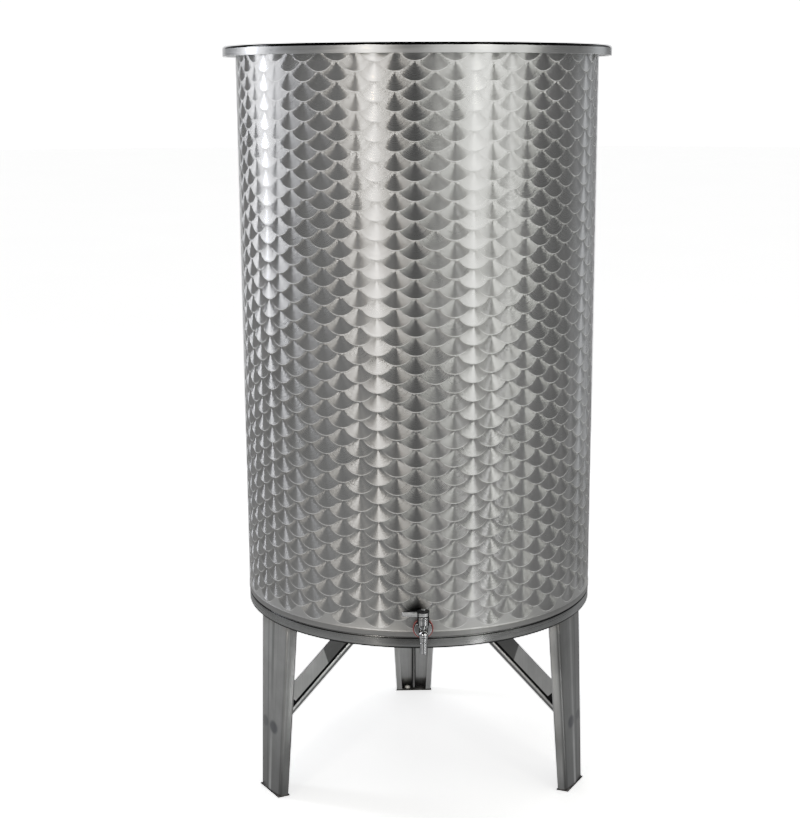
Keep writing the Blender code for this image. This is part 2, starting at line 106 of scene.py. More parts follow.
# Legs and braces, as their solids have them: sizes at the floor, then at the top
LEG_AZIMUTHS = {"left": -60.0, "right": 60.0, "back": 180.0}
LEG_FACE_R = (0.3235, 0.3060)
LEG_LEAN = (LEG_FACE_R[1] - LEG_FACE_R[0]) / LEG_TOP
LEG_FACE_HALF = (0.0350, 0.0500)
LEG_OPEN_HALF = (0.0370, 0.0560)
LEG_CREASE_HALF = (0.0095, 0.0190)
LEG_CREASE_PROUD = 0.0012
LEG_DEPTH = 0.0200
LEG_LIP = 0.0120
BRACE_SHEET = 0.0020
BRACE_WIDTH = 0.0450
BRACE_SLOPE = 0.8436
BRACE_LOW_R = 0.2745
BRACE_LOW_Z = 0.1385
RIB_DEPTH = 0.0180
HEM_DEPTH = 0.0120
HEM_WIDTH = 0.0080
PAD_MARGIN = 0.0008
SCREW_SIDE = 0.0136
SCREW_BACK = 0.0100

# Tap: reaches are out from the drum, heights are above the tap's own level line
TAP_AZIMUTH = -1.0
TAP_Z = BAND_LOW + 0.0365
HOLE_R = 0.0108
STEM_REACH = 0.0200
STEM_X = math.sin(math.radians(TAP_AZIMUTH)) * (DRUM_R + STEM_REACH)
SPOUT_REACH = 0.0360
GASKET_R = 0.0175
GASKET_LOW = 0.0009
GASKET_HIGH = 0.0034
FLANGE_R = 0.0150
FLANGE_LOW = 0.0037
FLANGE_HIGH = 0.0079
TAIL_R = 0.0104
NUT_R = 0.0145
BONNET_R = 0.0102
BONNET_LOW = 0.0095
BONNET_TOP = 0.0275
HUB_R = 0.0102
LEVER_LOW = 0.0295
LEVER_TOP = 0.0350
CAP_LOW = 0.0353
CAP_TOP = 0.0378

# Camera: where it stands about the drum's axis, and the photograph's frame in pixels
CAMERA_AZIMUTH = -2.2
CAMERA_DISTANCE = 2.794
CAMERA_HEIGHT = 1.2655
CAMERA_TILT = 12.18
CAMERA_ROLL = 0.19
FOCAL_PIXELS = 1543.0
FRAME_PIXELS = (800, 818)
OPTICAL_CENTRE = (418.4, 417.1)


def size_prop(name, description, default):
    """A size that a user can change."""
    return FloatProperty(name=name, description=description, default=default, subtype="DISTANCE")


def colour_prop(name, description, *default):
    """A colour that a user can change."""
    return FloatVectorProperty(name=name, description=description, default=default,
                               subtype="COLOR", size=3, min=0, max=1)


def share_prop(name, description, default):
    """A share from 0 to 1 that a user can change."""
    return FloatProperty(name=name, description=description, default=default,
                         subtype="FACTOR", min=0, max=1)


class TankSizes(bpy.types.PropertyGroup):
    """Sizes of the finished pieces that can change without leaving the solids."""

    round_steps: IntProperty(
        name="Round steps", description="Sides of the drum and its rings", default=256, min=48)
    rim_sheet: size_prop("Rim sheet", "Thickness of the rolled rim", 0.0015)
    rim_bend: size_prop("Rim bend", "Radius of the rim's outer bend", 0.0050)
    leg_sheet: size_prop("Leg sheet", "Thickness of the folded legs", 0.0020)
    leg_bend: size_prop("Leg bend", "Radius of the folds of the legs", 0.0045)
    hem_round: size_prop("Hem round", "Rounding of the brace's hem", 0.0036)
    weld_radius: size_prop("Weld radius", "Radius of the weld beads", 0.0016)
    column_pitch: size_prop("Column pitch", "Distance between columns of turned discs", 0.0320)
    row_pitch: size_prop("Row pitch", "Distance between the discs of a column", 0.03125)
    disc_radius: size_prop("Disc radius", "Radius of one turned disc", 0.0298)
    first_row: size_prop("First row", "Height of the lowest discs above the drum's foot", 0.0625)


class TankFinish(bpy.types.PropertyGroup):
    """Colours and gloss of the finished pieces."""

    turned_steel: colour_prop("Turned steel", "Colour of the engine-turned drum", 0.62, 0.62, 0.61)
    satin_steel: colour_prop(
        "Satin steel", "Colour of the rim, band, bottom and lid", 0.58, 0.585, 0.58)
    leg_steel: colour_prop("Leg steel", "Colour of the legs and braces", 0.56, 0.565, 0.56)
    chrome: colour_prop("Chrome", "Colour of the tap's plating", 0.82, 0.83, 0.84)
    black: colour_prop("Black plastic", "Colour of the caps", 0.006, 0.006, 0.007)
    red: colour_prop("Gasket red", "Colour of the tap's gasket", 0.27, 0.060, 0.055)
    pad: colour_prop("Pad", "Colour of the pads under the feet", 0.030, 0.028, 0.027)
    tube: colour_prop("Tube", "Colour of the lid's air tube", 0.66, 0.66, 0.63)
    floor: colour_prop("Floor", "Colour of the plain floor", 0.86, 0.86, 0.86)
    turned_gloss: share_prop("Turned roughness", "Roughness of the engine turning", 0.315)
    turned_grain: share_prop("Turned grain", "How far the turning stretches its highlights", 0.97)


# Selecting and shaping


def clear_selection():
    """Object mode with nothing selected, as before each new primitive."""
    if bpy.context.mode != "OBJECT":
        bpy.ops.object.mode_set(mode="OBJECT")
    bpy.ops.object.select_all(action="DESELECT")


def take(name):
    """Name the object that was just added."""
    piece = bpy.context.object
    piece.name = name
    piece.data.name = name
    return piece


def only(piece):
    """Make one piece the active and only selected object."""
    clear_selection()
    piece.select_set(True)
    bpy.context.view_layer.objects.active = piece


def edit(piece, select="DESELECT"):
    """Open a piece in edit mode."""
    only(piece)
    bpy.ops.object.mode_set(mode="EDIT")
    bpy.ops.mesh.select_mode(type="VERT")
    bpy.ops.mesh.select_all(action=select)


def close_edit():
    """Turn all faces outwards and leave edit mode."""
    bpy.ops.mesh.select_mode(type="VERT")
    bpy.ops.mesh.select_all(action="SELECT")
    bpy.ops.mesh.normals_make_consistent(inside=False)
    bpy.ops.object.mode_set(mode="OBJECT")


def pick(piece, kind, test):
    """Select what passes a test among a piece's verts, edges or faces, in edit mode."""
    bpy.ops.mesh.select_mode(type={"verts": "VERT", "edges": "EDGE", "faces": "FACE"}[kind])
    bpy.ops.mesh.select_all(action="DESELECT")
    shape = bmesh.from_edit_mesh(piece.data)
    found = [item for item in getattr(shape, kind) if test(item)]
    if not found:
        raise RuntimeError(f"{piece.name}: nothing to select among its {kind}")
    for item in found:
        item.select_set(True)
    shape.select_flush_mode()
    bmesh.update_edit_mesh(piece.data)


def draw_out(step):
    """Extrude what is selected by a step."""
    bpy.ops.mesh.extrude_region_move(TRANSFORM_OT_translate={"value": tuple(step)})


def turn_piece(name, profile, steps, ring=False):
    """A round piece about Z: a circle drawn out ring by ring along its (radius, height) points.

    A ring's last circle is bridged to its first, and any other piece is capped at both ends.
    """
    clear_selection()
    radius, height = profile[0]
    bpy.ops.mesh.primitive_circle_add(vertices=steps, radius=radius, location=(0, 0, 0))
    piece = take(name)
    edit(piece, "SELECT")
    bpy.ops.transform.translate(value=(0, 0, height))
    for next_radius, next_height in profile[1:]:
        draw_out((0, 0, next_height - height))
        grow = next_radius / radius
        bpy.ops.transform.resize(value=(grow, grow, 1), center_override=(0, 0, next_height))
        radius, height = next_radius, next_height
    if ring:
        bpy.ops.mesh.select_all(action="DESELECT")
        bpy.ops.mesh.select_non_manifold()
        bpy.ops.mesh.bridge_edge_loops()
    else:
        bpy.ops.mesh.select_all(action="SELECT")
        bpy.ops.mesh.fill_holes(sides=0)
    close_edit()
    return piece


def draw_line(name, points):
    """A line of edges in edit mode, drawn out point by point."""
    clear_selection()
    bpy.ops.mesh.primitive_plane_add(size=0.001, location=(0, 0, 0))
    piece = take(name)
    edit(piece, "SELECT")
    bpy.ops.mesh.merge(type="CENTER")
    bpy.ops.transform.translate(value=tuple(points[0]))
    for start, end in zip(points, points[1:]):
        draw_out(Vector(end) - Vector(start))
    return piece


def cut_plate(name, outline, depth):
    """A flat plate of any outline, drawn out by a depth."""
    piece = draw_line(name, list(outline) + [outline[0]])
    bpy.ops.mesh.select_all(action="SELECT")
    bpy.ops.mesh.remove_doubles(threshold=1e-6)
    bpy.ops.mesh.edge_face_add()
    draw_out(depth)
    close_edit()
    return piece


def rod_along(name, points, radius, closed=False, around=4):
    """A round rod that follows a line of points."""
    draw_line(name, list(points) + ([points[0]] if closed else []))
    bpy.ops.mesh.select_all(action="SELECT")
    bpy.ops.mesh.remove_doubles(threshold=1e-6)
    bpy.ops.object.mode_set(mode="OBJECT")
    bpy.ops.object.convert(target="CURVE")
    line = bpy.context.object.data
    line.bevel_depth = radius
    line.bevel_resolution = around
    line.use_fill_caps = not closed
    bpy.ops.object.convert(target="MESH")
    piece = take(name)
    edit(piece, "SELECT")
    close_edit()
    return piece


def apply_modifier(piece, modifier):
    """Settle a modifier into the piece's mesh."""
    only(piece)
    bpy.ops.object.modifier_apply(modifier=modifier.name)


def round_edges(piece, width, segments=3, angle=50.0):
    """Bevel the edges that turn by more than an angle."""
    bevel = piece.modifiers.new("round", "BEVEL")
    bevel.width = width
    bevel.segments = segments
    bevel.limit_method = "ANGLE"
    bevel.angle_limit = math.radians(angle)
    apply_modifier(piece, bevel)
    return piece


def thicken(piece, sheet, side):
    """Give a sheet its thickness, to one side of its faces."""
    solid = piece.modifiers.new("sheet", "SOLIDIFY")
    solid.thickness = sheet
    solid.offset = side
    solid.use_even_offset = True
    apply_modifier(piece, solid)
    return piece


def combine(piece, other, operation):
    """Cut another shape out of a piece, or fuse the two, and drop the other shape."""
    boolean = piece.modifiers.new("combine", "BOOLEAN")
    boolean.operation = operation
    boolean.solver = "EXACT"
    boolean.object = other
    apply_modifier(piece, boolean)
    drop(other)
    return piece


def cast(piece, grain, passes):
    """Remesh a fused shape finely and smooth it, so that its corners fill as in a casting."""
    remesh = piece.modifiers.new("cast", "REMESH")
    remesh.mode = "VOXEL"
    remesh.voxel_size = grain
    apply_modifier(piece, remesh)
    smooth = piece.modifiers.new("soften", "SMOOTH")
    smooth.factor = 0.5
    smooth.iterations = passes
    apply_modifier(piece, smooth)
    return piece


def drop(piece):
    """Take out a shape that was only a help."""
    bpy.data.objects.remove(piece, do_unlink=True)


def settle(piece):
    """Settle a piece's place and turn into its mesh."""
    only(piece)
    bpy.ops.object.transform_apply(location=True, rotation=True, scale=True)


def move_piece(piece, location=(0, 0, 0), turn=(0, 0, 0)):
    """Turn a piece by degrees about X, Y and Z, then move it, settled into its mesh."""
    settle(piece)
    piece.rotation_euler = [math.radians(angle) for angle in turn]
    piece.location = location
    settle(piece)
    return piece


def copy_piece(piece, name):
    """A copy of a piece with its own mesh."""
    only(piece)
    bpy.ops.object.duplicate(linked=False)
    return take(name)


def join_pieces(piece, *others):
    """One object from several shapes that stay together."""
    only(piece)
    for other in others:
        other.select_set(True)
    bpy.ops.object.join()
    return piece


def dress(piece, finish, slot, body, *nodes, smooth=32.0):
    """Give a placed piece its finish, its body, and the solids that it stands for."""
    settle(piece)
    piece.data.materials.clear()
    piece.data.materials.append(finish_of(finish))
    bpy.ops.object.shade_smooth_by_angle(angle=math.radians(smooth))
    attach(piece, body)
    if nodes:
        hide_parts(*nodes)
    return piece


def to_drum(piece, azimuth=0.0):
    """Set a piece modelled about the drum's axis down at an azimuth, in degrees from the front."""
    move_piece(piece, turn=(0, 0, azimuth))
    return move_piece(piece, location=(0, AXIS_Y, 0))


def to_tap(piece, reach=0.0, turn=(0, 0, 0)):
    """Set a piece modelled about the tap's level line down in its place."""
    move_piece(piece, turn=turn)
    move_piece(piece, location=(0, -DRUM_R - reach, TAP_Z))
    return to_drum(piece, TAP_AZIMUTH)


def arc(centre, radius, start, end, steps):
    """Points on an arc, from one angle in degrees to another."""
    points = []
    for i in range(steps + 1):
        angle = math.radians(start + (end - start) * i / steps)
        points.append((centre[0] + radius * math.cos(angle), centre[1] + radius * math.sin(angle)))
    return points


def at_height(pair, height):
    """A leg's size at a height, running straight from the floor to its top."""
    foot, top = pair
    return foot + (top - foot) * height / LEG_TOP


# Finishes


class Value:
    """A number or vector in a node tree. Sums, products and comparisons of it add Math nodes."""

    def __init__(self, nodes, socket):
        self.nodes = nodes
        self.socket = socket

    def __add__(self, other):
        return self.nodes.math("ADD", self, other)

    def __sub__(self, other):
        return self.nodes.math("SUBTRACT", self, other)

    def __rsub__(self, other):
        return self.nodes.math("SUBTRACT", other, self)

    def __mul__(self, other):
        return self.nodes.math("MULTIPLY", self, other)

    def __truediv__(self, other):
        return self.nodes.math("DIVIDE", self, other)

    def __abs__(self):
        return self.nodes.math("ABSOLUTE", self)

    def __gt__(self, other):
        return self.nodes.math("GREATER_THAN", self, other)

    def __lt__(self, other):
        return self.nodes.math("LESS_THAN", self, other)

    __radd__ = __add__
    __rmul__ = __mul__


class Nodes:
    """A node tree, with short calls that add and link its nodes."""

    def __init__(self, tree):
        self.tree = tree

    def feed(self, value, socket):
        """Link a value, or set a number, a colour or a vector."""
        if isinstance(value, Value):
            self.tree.links.new(value.socket, socket)
        else:
            socket.default_value = value

    def add(self, kind, inputs, output=0, **settings):
        """A new node with its settings and its inputs, as the value of one of its outputs."""
        node = self.tree.nodes.new("ShaderNode" + kind)
        for name, setting in settings.items():
            setattr(node, name, setting)
        for name, value in inputs.items():
            self.feed(value, node.inputs[name])
        return Value(self, node.outputs[output])

    def math(self, operation, *values):
        """The result of a Math node."""
        return self.add("Math", dict(enumerate(values)), operation=operation)

    def larger(self, first, second):
        """The larger of two numbers."""
        return self.math("MAXIMUM", first, second)

    def vector(self, operation, *values):
        """The result of a Vector Math node."""
        output = 1 if operation in ("LENGTH", "DOT_PRODUCT") else 0
        return self.add("VectorMath", dict(enumerate(values)), output, operation=operation)

    def scaled(self, vector, factor):
        """A vector or a colour times a number."""
        return self.add("VectorMath", {0: vector, "Scale": factor}, operation="SCALE")

    def xyz(self, x, y, z=0.0):
        """A vector from its parts."""
        return self.add("CombineXYZ", {0: x, 1: y, 2: z})

    def parts(self, vector):
        """The X, Y and Z of a vector."""
        node = self.add("SeparateXYZ", {0: vector}).socket.node
        return [Value(self, output) for output in node.outputs]

    def length(self, x, y):
        """The length of a level vector."""
        return self.vector("LENGTH", self.xyz(x, y))

    def noise(self, vector, scale, detail=2.0, roughness=0.5):
        """Soft noise from 0 to 1."""
        return self.add("TexNoise", {"Vector": vector, "Scale": scale, "Detail": detail,
                                     "Roughness": roughness}, "Fac")

    def random(self, vector):
        """One random number from 0 to 1 for each whole-numbered place."""
        return self.add("TexWhiteNoise", {"Vector": vector}, "Value")

    def ramp(self, value, low, high, to_low=0.0, to_high=1.0):
        """A value spread from one range to another, eased and held at its ends."""
        return self.add("MapRange", dict(enumerate((value, low, high, to_low, to_high))),
                        interpolation_type="SMOOTHSTEP")

    def line(self, distance, full, gone, on_line, off_line=1.0):
        """A tone that holds within one distance of a line and is gone at another."""
        return self.ramp(distance, full, gone, on_line, off_line)

    def either(self, factor, first, second):
        """The first number at factor 0 and the second at 1."""
        return self.add("Mix", {0: factor, 2: first, 3: second})

    def choose(self, factor, first, second):
        """The first vector at factor 0 and the second at 1."""
        return self.add("Mix", {0: factor, 4: first, 5: second}, 1, data_type="VECTOR")

    def blend(self, factor, first, second):
        """Two colours mixed by a factor."""
        sides = [(*side, 1.0) if isinstance(side, tuple) else side for side in (first, second)]
        return self.add("Mix", {0: factor, 6: sides[0], 7: sides[1]}, 2, data_type="RGBA")

    def bump(self, height, depth):
        """A surface normal from heights of 0 to 1 that stand for a depth in metres."""
        return self.add("Bump", {"Strength": 1.0, "Distance": depth, "Height": height})


class Finish(Nodes):
    """A material of its own name."""

    def __init__(self, name):
        self.material = bpy.data.materials.new(name)
        self.material.use_nodes = True
        super().__init__(self.material.node_tree)
        self.shader = self.tree.nodes["Principled BSDF"]

    def set(self, **inputs):
        """Set or link the shader's inputs, named with underscores."""
        for name, value in inputs.items():
            self.feed(value, self.shader.inputs[name.replace("_", " ")])

    def place(self):
        """The point on the piece, in metres about the drum's axis."""
        return self.vector("SUBTRACT", self.add("TexCoord", {}, "Object"), (0, AXIS_Y, 0))

    def normal(self):
        """The surface's own normal."""
        return self.add("NewGeometry", {}, "Normal")

    def azimuth(self, x, y):
        """The angle about the drum's axis, from the front towards +X, in radians."""
        return self.math("ARCTAN2", x, y * -1.0)


def shade(colour, factor):
    """A colour made darker or lighter."""
    return tuple(min(1.0, part * factor) for part in colour)


# Engine turning: how unevenly the columns start, the scratches across a disc, and how far its
# surface leans outwards, all over, in its scratches and at its edge
COLUMN_UNEVEN = 0.0010
SCRATCHES = 46.0
DISC_DISH = 0.020
DISC_RINGS = 0.065
DISC_RIM = 0.14


def turned_discs(finish, sizes, about, height):
    """The uppermost turned disc at each point: offset from its centre, number, and if there is one.

    Discs stand in columns round the drum, each second column half a step higher. Each disc
    lies over those below it, so the one that shows is the highest that reaches the point.
    """
    column, row, radius = sizes.column_pitch, sizes.row_pitch, sizes.disc_radius
    base = finish.math("FLOOR", about / column)
    best = None
    for side in (-1.0, 0.0, 1.0):
        number = base + side
        off_x = about - (number + 0.5) * column
        even = 1.0 - finish.math("FLOORED_MODULO", number, 2.0)
        lift = even * (row / 2) + finish.random(finish.xyz(number, 0.5, 0.5)) * COLUMN_UNEVEN
        reach = finish.math("SQRT", finish.larger(radius * radius - off_x * off_x, 0.0))
        step = finish.math("FLOOR", (height + reach - lift) / row)
        centre = step * row + lift
        off_y = height - centre
        rank = (off_y < reach) * (step > -0.5) * (centre + 1.0)
        found = (rank, finish.xyz(off_x, off_y), finish.xyz(number, step))
        if best is None:
            best = found
        else:
            higher = rank > best[0]
            best = (finish.larger(rank, best[0]), finish.choose(higher, best[1], found[1]),
                    finish.choose(higher, best[2], found[2]))
    return best[1], best[2], best[0] > 0.5


def groove_shade(finish, z):
    """Painted shade in the groove between the drum's edge and its band."""
    half = (EDGE_LOW - BAND_TOP) / 2
    return finish.line(abs(z - (EDGE_LOW + BAND_TOP) / 2), half + 0.0004, half + 0.0016, 0.10)


# The painted dark reflection of the tap over its lever: its middle, half its width to each
# side, and half its height
TAP_REFLECTION_LEFT = 0.0105
TAP_REFLECTION_UP = 0.0285
TAP_REFLECTION_RIGHT_HALF = 0.0230
TAP_REFLECTION_LEFT_HALF = 0.0370
TAP_REFLECTION_TALL_HALF = 0.0225


def tap_reflection_paint(finish, about, z):
    """A painted dark reflection of the tap on the drum over its lever, wider on the lever's side.
    """
    across = about - (math.radians(TAP_AZIMUTH) * DRUM_R - TAP_REFLECTION_LEFT)
    across = finish.larger(across / TAP_REFLECTION_RIGHT_HALF, across / -TAP_REFLECTION_LEFT_HALF)
    above = z - (TAP_Z + TAP_REFLECTION_UP)
    reach = finish.length(across, above / TAP_REFLECTION_TALL_HALF)
    return 1.0 - finish.ramp(reach, 0.25, 1.0, 0.97, 0.0) * finish.ramp(above, -0.009, -0.004)


def drum_turning(sizes, look):
    """Steel turned in overlapping discs, whose fine round scratches stretch each highlight."""
    finish = Finish("drum_turning")
    x, y, z = finish.parts(finish.place())
    angle = finish.azimuth(x, y)
    about = angle * DRUM_R
    offset, number, covered = turned_discs(finish, sizes, about, z - (BAND_LOW + sizes.first_row))
    covered = covered * (finish.length(x, y) > DRUM_R - WALL / 2) * (z > EDGE_TOP + 0.0012)

    off_x, off_y, _ = finish.parts(offset)
    distance = finish.larger(finish.vector("LENGTH", offset), 1e-5)
    out_x, out_y = off_x / distance, off_y / distance
    side_x, side_y = finish.math("COSINE", angle), finish.math("SINE", angle)
    radial = finish.xyz(out_x * side_x, out_x * side_y, out_y)
    tangent = finish.choose(covered, (0.0, 0.0, 1.0), radial)

    share = distance / sizes.disc_radius
    chance = finish.random(number)
    rings = finish.noise(finish.xyz(share * SCRATCHES, chance * 90.0), 1.0, 3.0, 0.6)
    # The lower rim of each disc: a real burr, rougher and without grain, also lighter in colour as
    # a painted highlight
    burr_and_rim_glint = finish.ramp(share, 0.945, 0.980) * covered * finish.ramp(out_y, -0.97, -0.55, 1.0, 0.06)
    lean = (rings - 0.5) * DISC_RINGS + DISC_DISH + finish.ramp(share, 0.955, 0.995) * DISC_RIM
    sway = (finish.noise(finish.xyz(about, z), 3.2, 1.0, 0.4) - 0.5) * 0.05
    leaning = finish.vector("ADD", finish.normal(), finish.scaled(radial, lean * covered))
    swaying = finish.vector("ADD", leaning, finish.xyz(sway * side_x, sway * side_y))

    cloud = finish.noise(finish.xyz(about, z), 7.0, 3.0, 0.55)
    # Painted light of the discs: a painted highlight along each lower rim, painted shade at its
    # centre
    painted_disc_light = burr_and_rim_glint * 0.60 + finish.ramp(share, 0.0, 0.16, 0.82, 1.0)
    tone = (chance - 0.5) * 0.06 + finish.ramp(cloud, 0.3, 0.7, 0.93, 1.05)
    # The discs' painted light, and the painted dark reflection of the tap over its lever
    tone = tone * finish.either(covered, 1.15, painted_disc_light) * tap_reflection_paint(finish, about, z)
    tone = tone * finish.ramp(z, EDGE_TOP - 0.0016, EDGE_TOP - 0.0004, 0.62, 1.0)
    tone = tone * groove_shade(finish, z)
    rough = finish.ramp(rings, 0.3, 0.7, -0.05, 0.05)
    rough = rough + finish.ramp(cloud, 0.3, 0.7, look.turned_gloss - 0.02, look.turned_gloss + 0.03)
    rough = finish.either(covered, 0.42, finish.either(burr_and_rim_glint, rough, 0.60))
    grain = finish.either(covered, 0.0, finish.either(burr_and_rim_glint, look.turned_grain, 0.0))
    finish.set(Base_Color=finish.scaled(tuple(look.turned_steel), tone), Metallic=1.0,
               Roughness=rough, Anisotropic=grain, Tangent=tangent,
               Normal=finish.vector("NORMALIZE", swaying))
    return finish.material


def satin_sheet(name, colour, gloss, grain=0.55, polished=None):
    """Plain sheet, rubbed round the drum's axis, with soft cloudy stains.

    Above the polished height, where there is one, it is polished, with a painted dark reflection
    as a black line in its bend, and all of it takes painted shade towards its right side and
    a painted highlight at its front.
    """
    finish = Finish(name)
    place = finish.place()
    x, y, z = finish.parts(place)
    angle = finish.azimuth(x, y)
    around = finish.xyz(finish.math("COSINE", angle), finish.math("SINE", angle))
    tangent = finish.vector("NORMALIZE", finish.vector("CROSS_PRODUCT", finish.normal(), around))
    along = finish.xyz(angle * 1.2, finish.length(x, y) * 420.0, z * 420.0)
    streaks = finish.noise(along, 1.0, 4.0, 0.65)
    long_streaks = finish.noise(finish.vector("MULTIPLY", along, (2.0, 0.22, 0.22)), 1.0, 2.0, 0.5)
    cloud = finish.noise(place, 9.0, 4.0, 0.6)
    tone = finish.ramp(cloud, 0.3, 0.75, 0.86, 1.06)
    tone = tone * finish.ramp(long_streaks, 0.3, 0.7, 0.92, 1.05)
    rough = finish.ramp(streaks, 0.25, 0.75, -0.05, 0.06)
    rough = rough + finish.ramp(cloud, 0.3, 0.7, gloss - 0.03, gloss + 0.04)
    if name == "band_sheet":
        # Painted shade in the groove above the band and along the band's lower edge
        tone = tone * groove_shade(finish, z)
        tone = tone * finish.line(z, BAND_LOW + 0.0020, BAND_LOW + 0.0034, 0.12)
    if polished:
        rough = finish.either(finish.ramp(z, polished, polished + 0.0006), rough, 0.12)
        # Painted dark reflection in the rim's bend, painted shade to its right, a painted highlight
        # in front
        _, _, up = finish.parts(finish.normal())
        bend = finish.ramp(up, 0.02, 0.14) * finish.ramp(up, 0.93, 0.985, 1.0, 0.0) * (z > polished)
        tone = tone * (bend * -0.97 + 1.0) * finish.ramp(angle, 1.05, 1.35, 1.0, 0.55)
        tone = tone * finish.line(abs(angle), 0.10, 0.45, 1.30)
    finish.set(Base_Color=finish.scaled(tuple(colour), tone), Metallic=1.0, Roughness=rough,
               Anisotropic=grain, Tangent=tangent, Normal=finish.bump(streaks, 0.00003))
    return finish.material


# Heat tints of the spot welds, in the left leg's own frame: across, height, radius, strength
HEAT_SPOTS = ((0.0100, 0.1265, 0.0150, 0.66), (-0.0235, 0.1285, 0.0125, 0.42))
HEAT_COLOUR = (0.10, 0.105, 0.125)
STRAW_COLOUR = (0.36, 0.30, 0.24)
# The near black of the painted shade in the legs' lines and in the braces' corners
SHADE_LINE_COLOUR = (0.020, 0.020, 0.021)

# Middle lines of the painted highlight and the painted shade streak along the brace's hem, in
# from its edge, and the painted shade in the corner beside it: from this radius on it widens by
# this share
HEM_LIGHT = 0.0095
HEM_DARK = 0.0052
CORNER_R = 0.268
CORNER_WIDENS = 1.4


def line_at(z, pair, inset=0.0):
    """A leg's size at the point's own height, less an inset."""
    return z * ((pair[1] - pair[0]) / LEG_TOP) + (pair[0] - inset)


def brace_shades(finish, outward, z):
    """Painted light and shade of the brace's web and hem, the corner between them, and its rounded
    nose.
    """
    rib = outward - line_at(z, LEG_FACE_R, RIB_DEPTH)
    slope = outward * BRACE_SLOPE + z - (BRACE_LOW_Z + BRACE_LOW_R * BRACE_SLOPE)
    inside = finish.larger(rib, slope / math.hypot(1.0, BRACE_SLOPE))
    wedge = finish.larger(0.0, (outward - CORNER_R) * CORNER_WIDENS)
    corner = finish.ramp(inside, HEM_DEPTH - 0.0014, HEM_DEPTH - 0.0006)
    corner = corner * finish.ramp(inside - HEM_DEPTH - wedge, 0.0022, 0.0034, 1.0, 0.0)
    # Painted shadow over the web's upper part, the hem's painted highlight and painted shade
    # streaks
    web = finish.ramp(z * 0.32 + 0.128 - outward, -0.0010, 0.0015, 1.15, 0.36)
    hem = finish.line(abs(inside - HEM_LIGHT), 0.0006, 0.0022, 1.9)
    hem = hem * finish.line(abs(inside - HEM_DARK), 0.0006, 0.0018, 0.42)
    hem = hem * finish.line(inside, 0.0004, 0.0016, 0.45)
    web = finish.either(finish.ramp(inside, HEM_DEPTH - 0.0005, HEM_DEPTH), hem, web)
    return web, corner, finish.ramp(inside, 0.0040, 0.0050, 1.0, 0.0)


def heat_spots(finish, handed, z, cloud):
    """The ragged heat tints on the legs' faces."""
    spots = 0.0
    for side, height, size, strength in HEAT_SPOTS:
        off = finish.length(handed - side, (z - height) * 1.15)
        ragged = (cloud - 0.5) * 0.9 + off / size
        spots = finish.larger(finish.ramp(ragged, 0.55, 1.15, strength, 0.0), spots)
    return spots


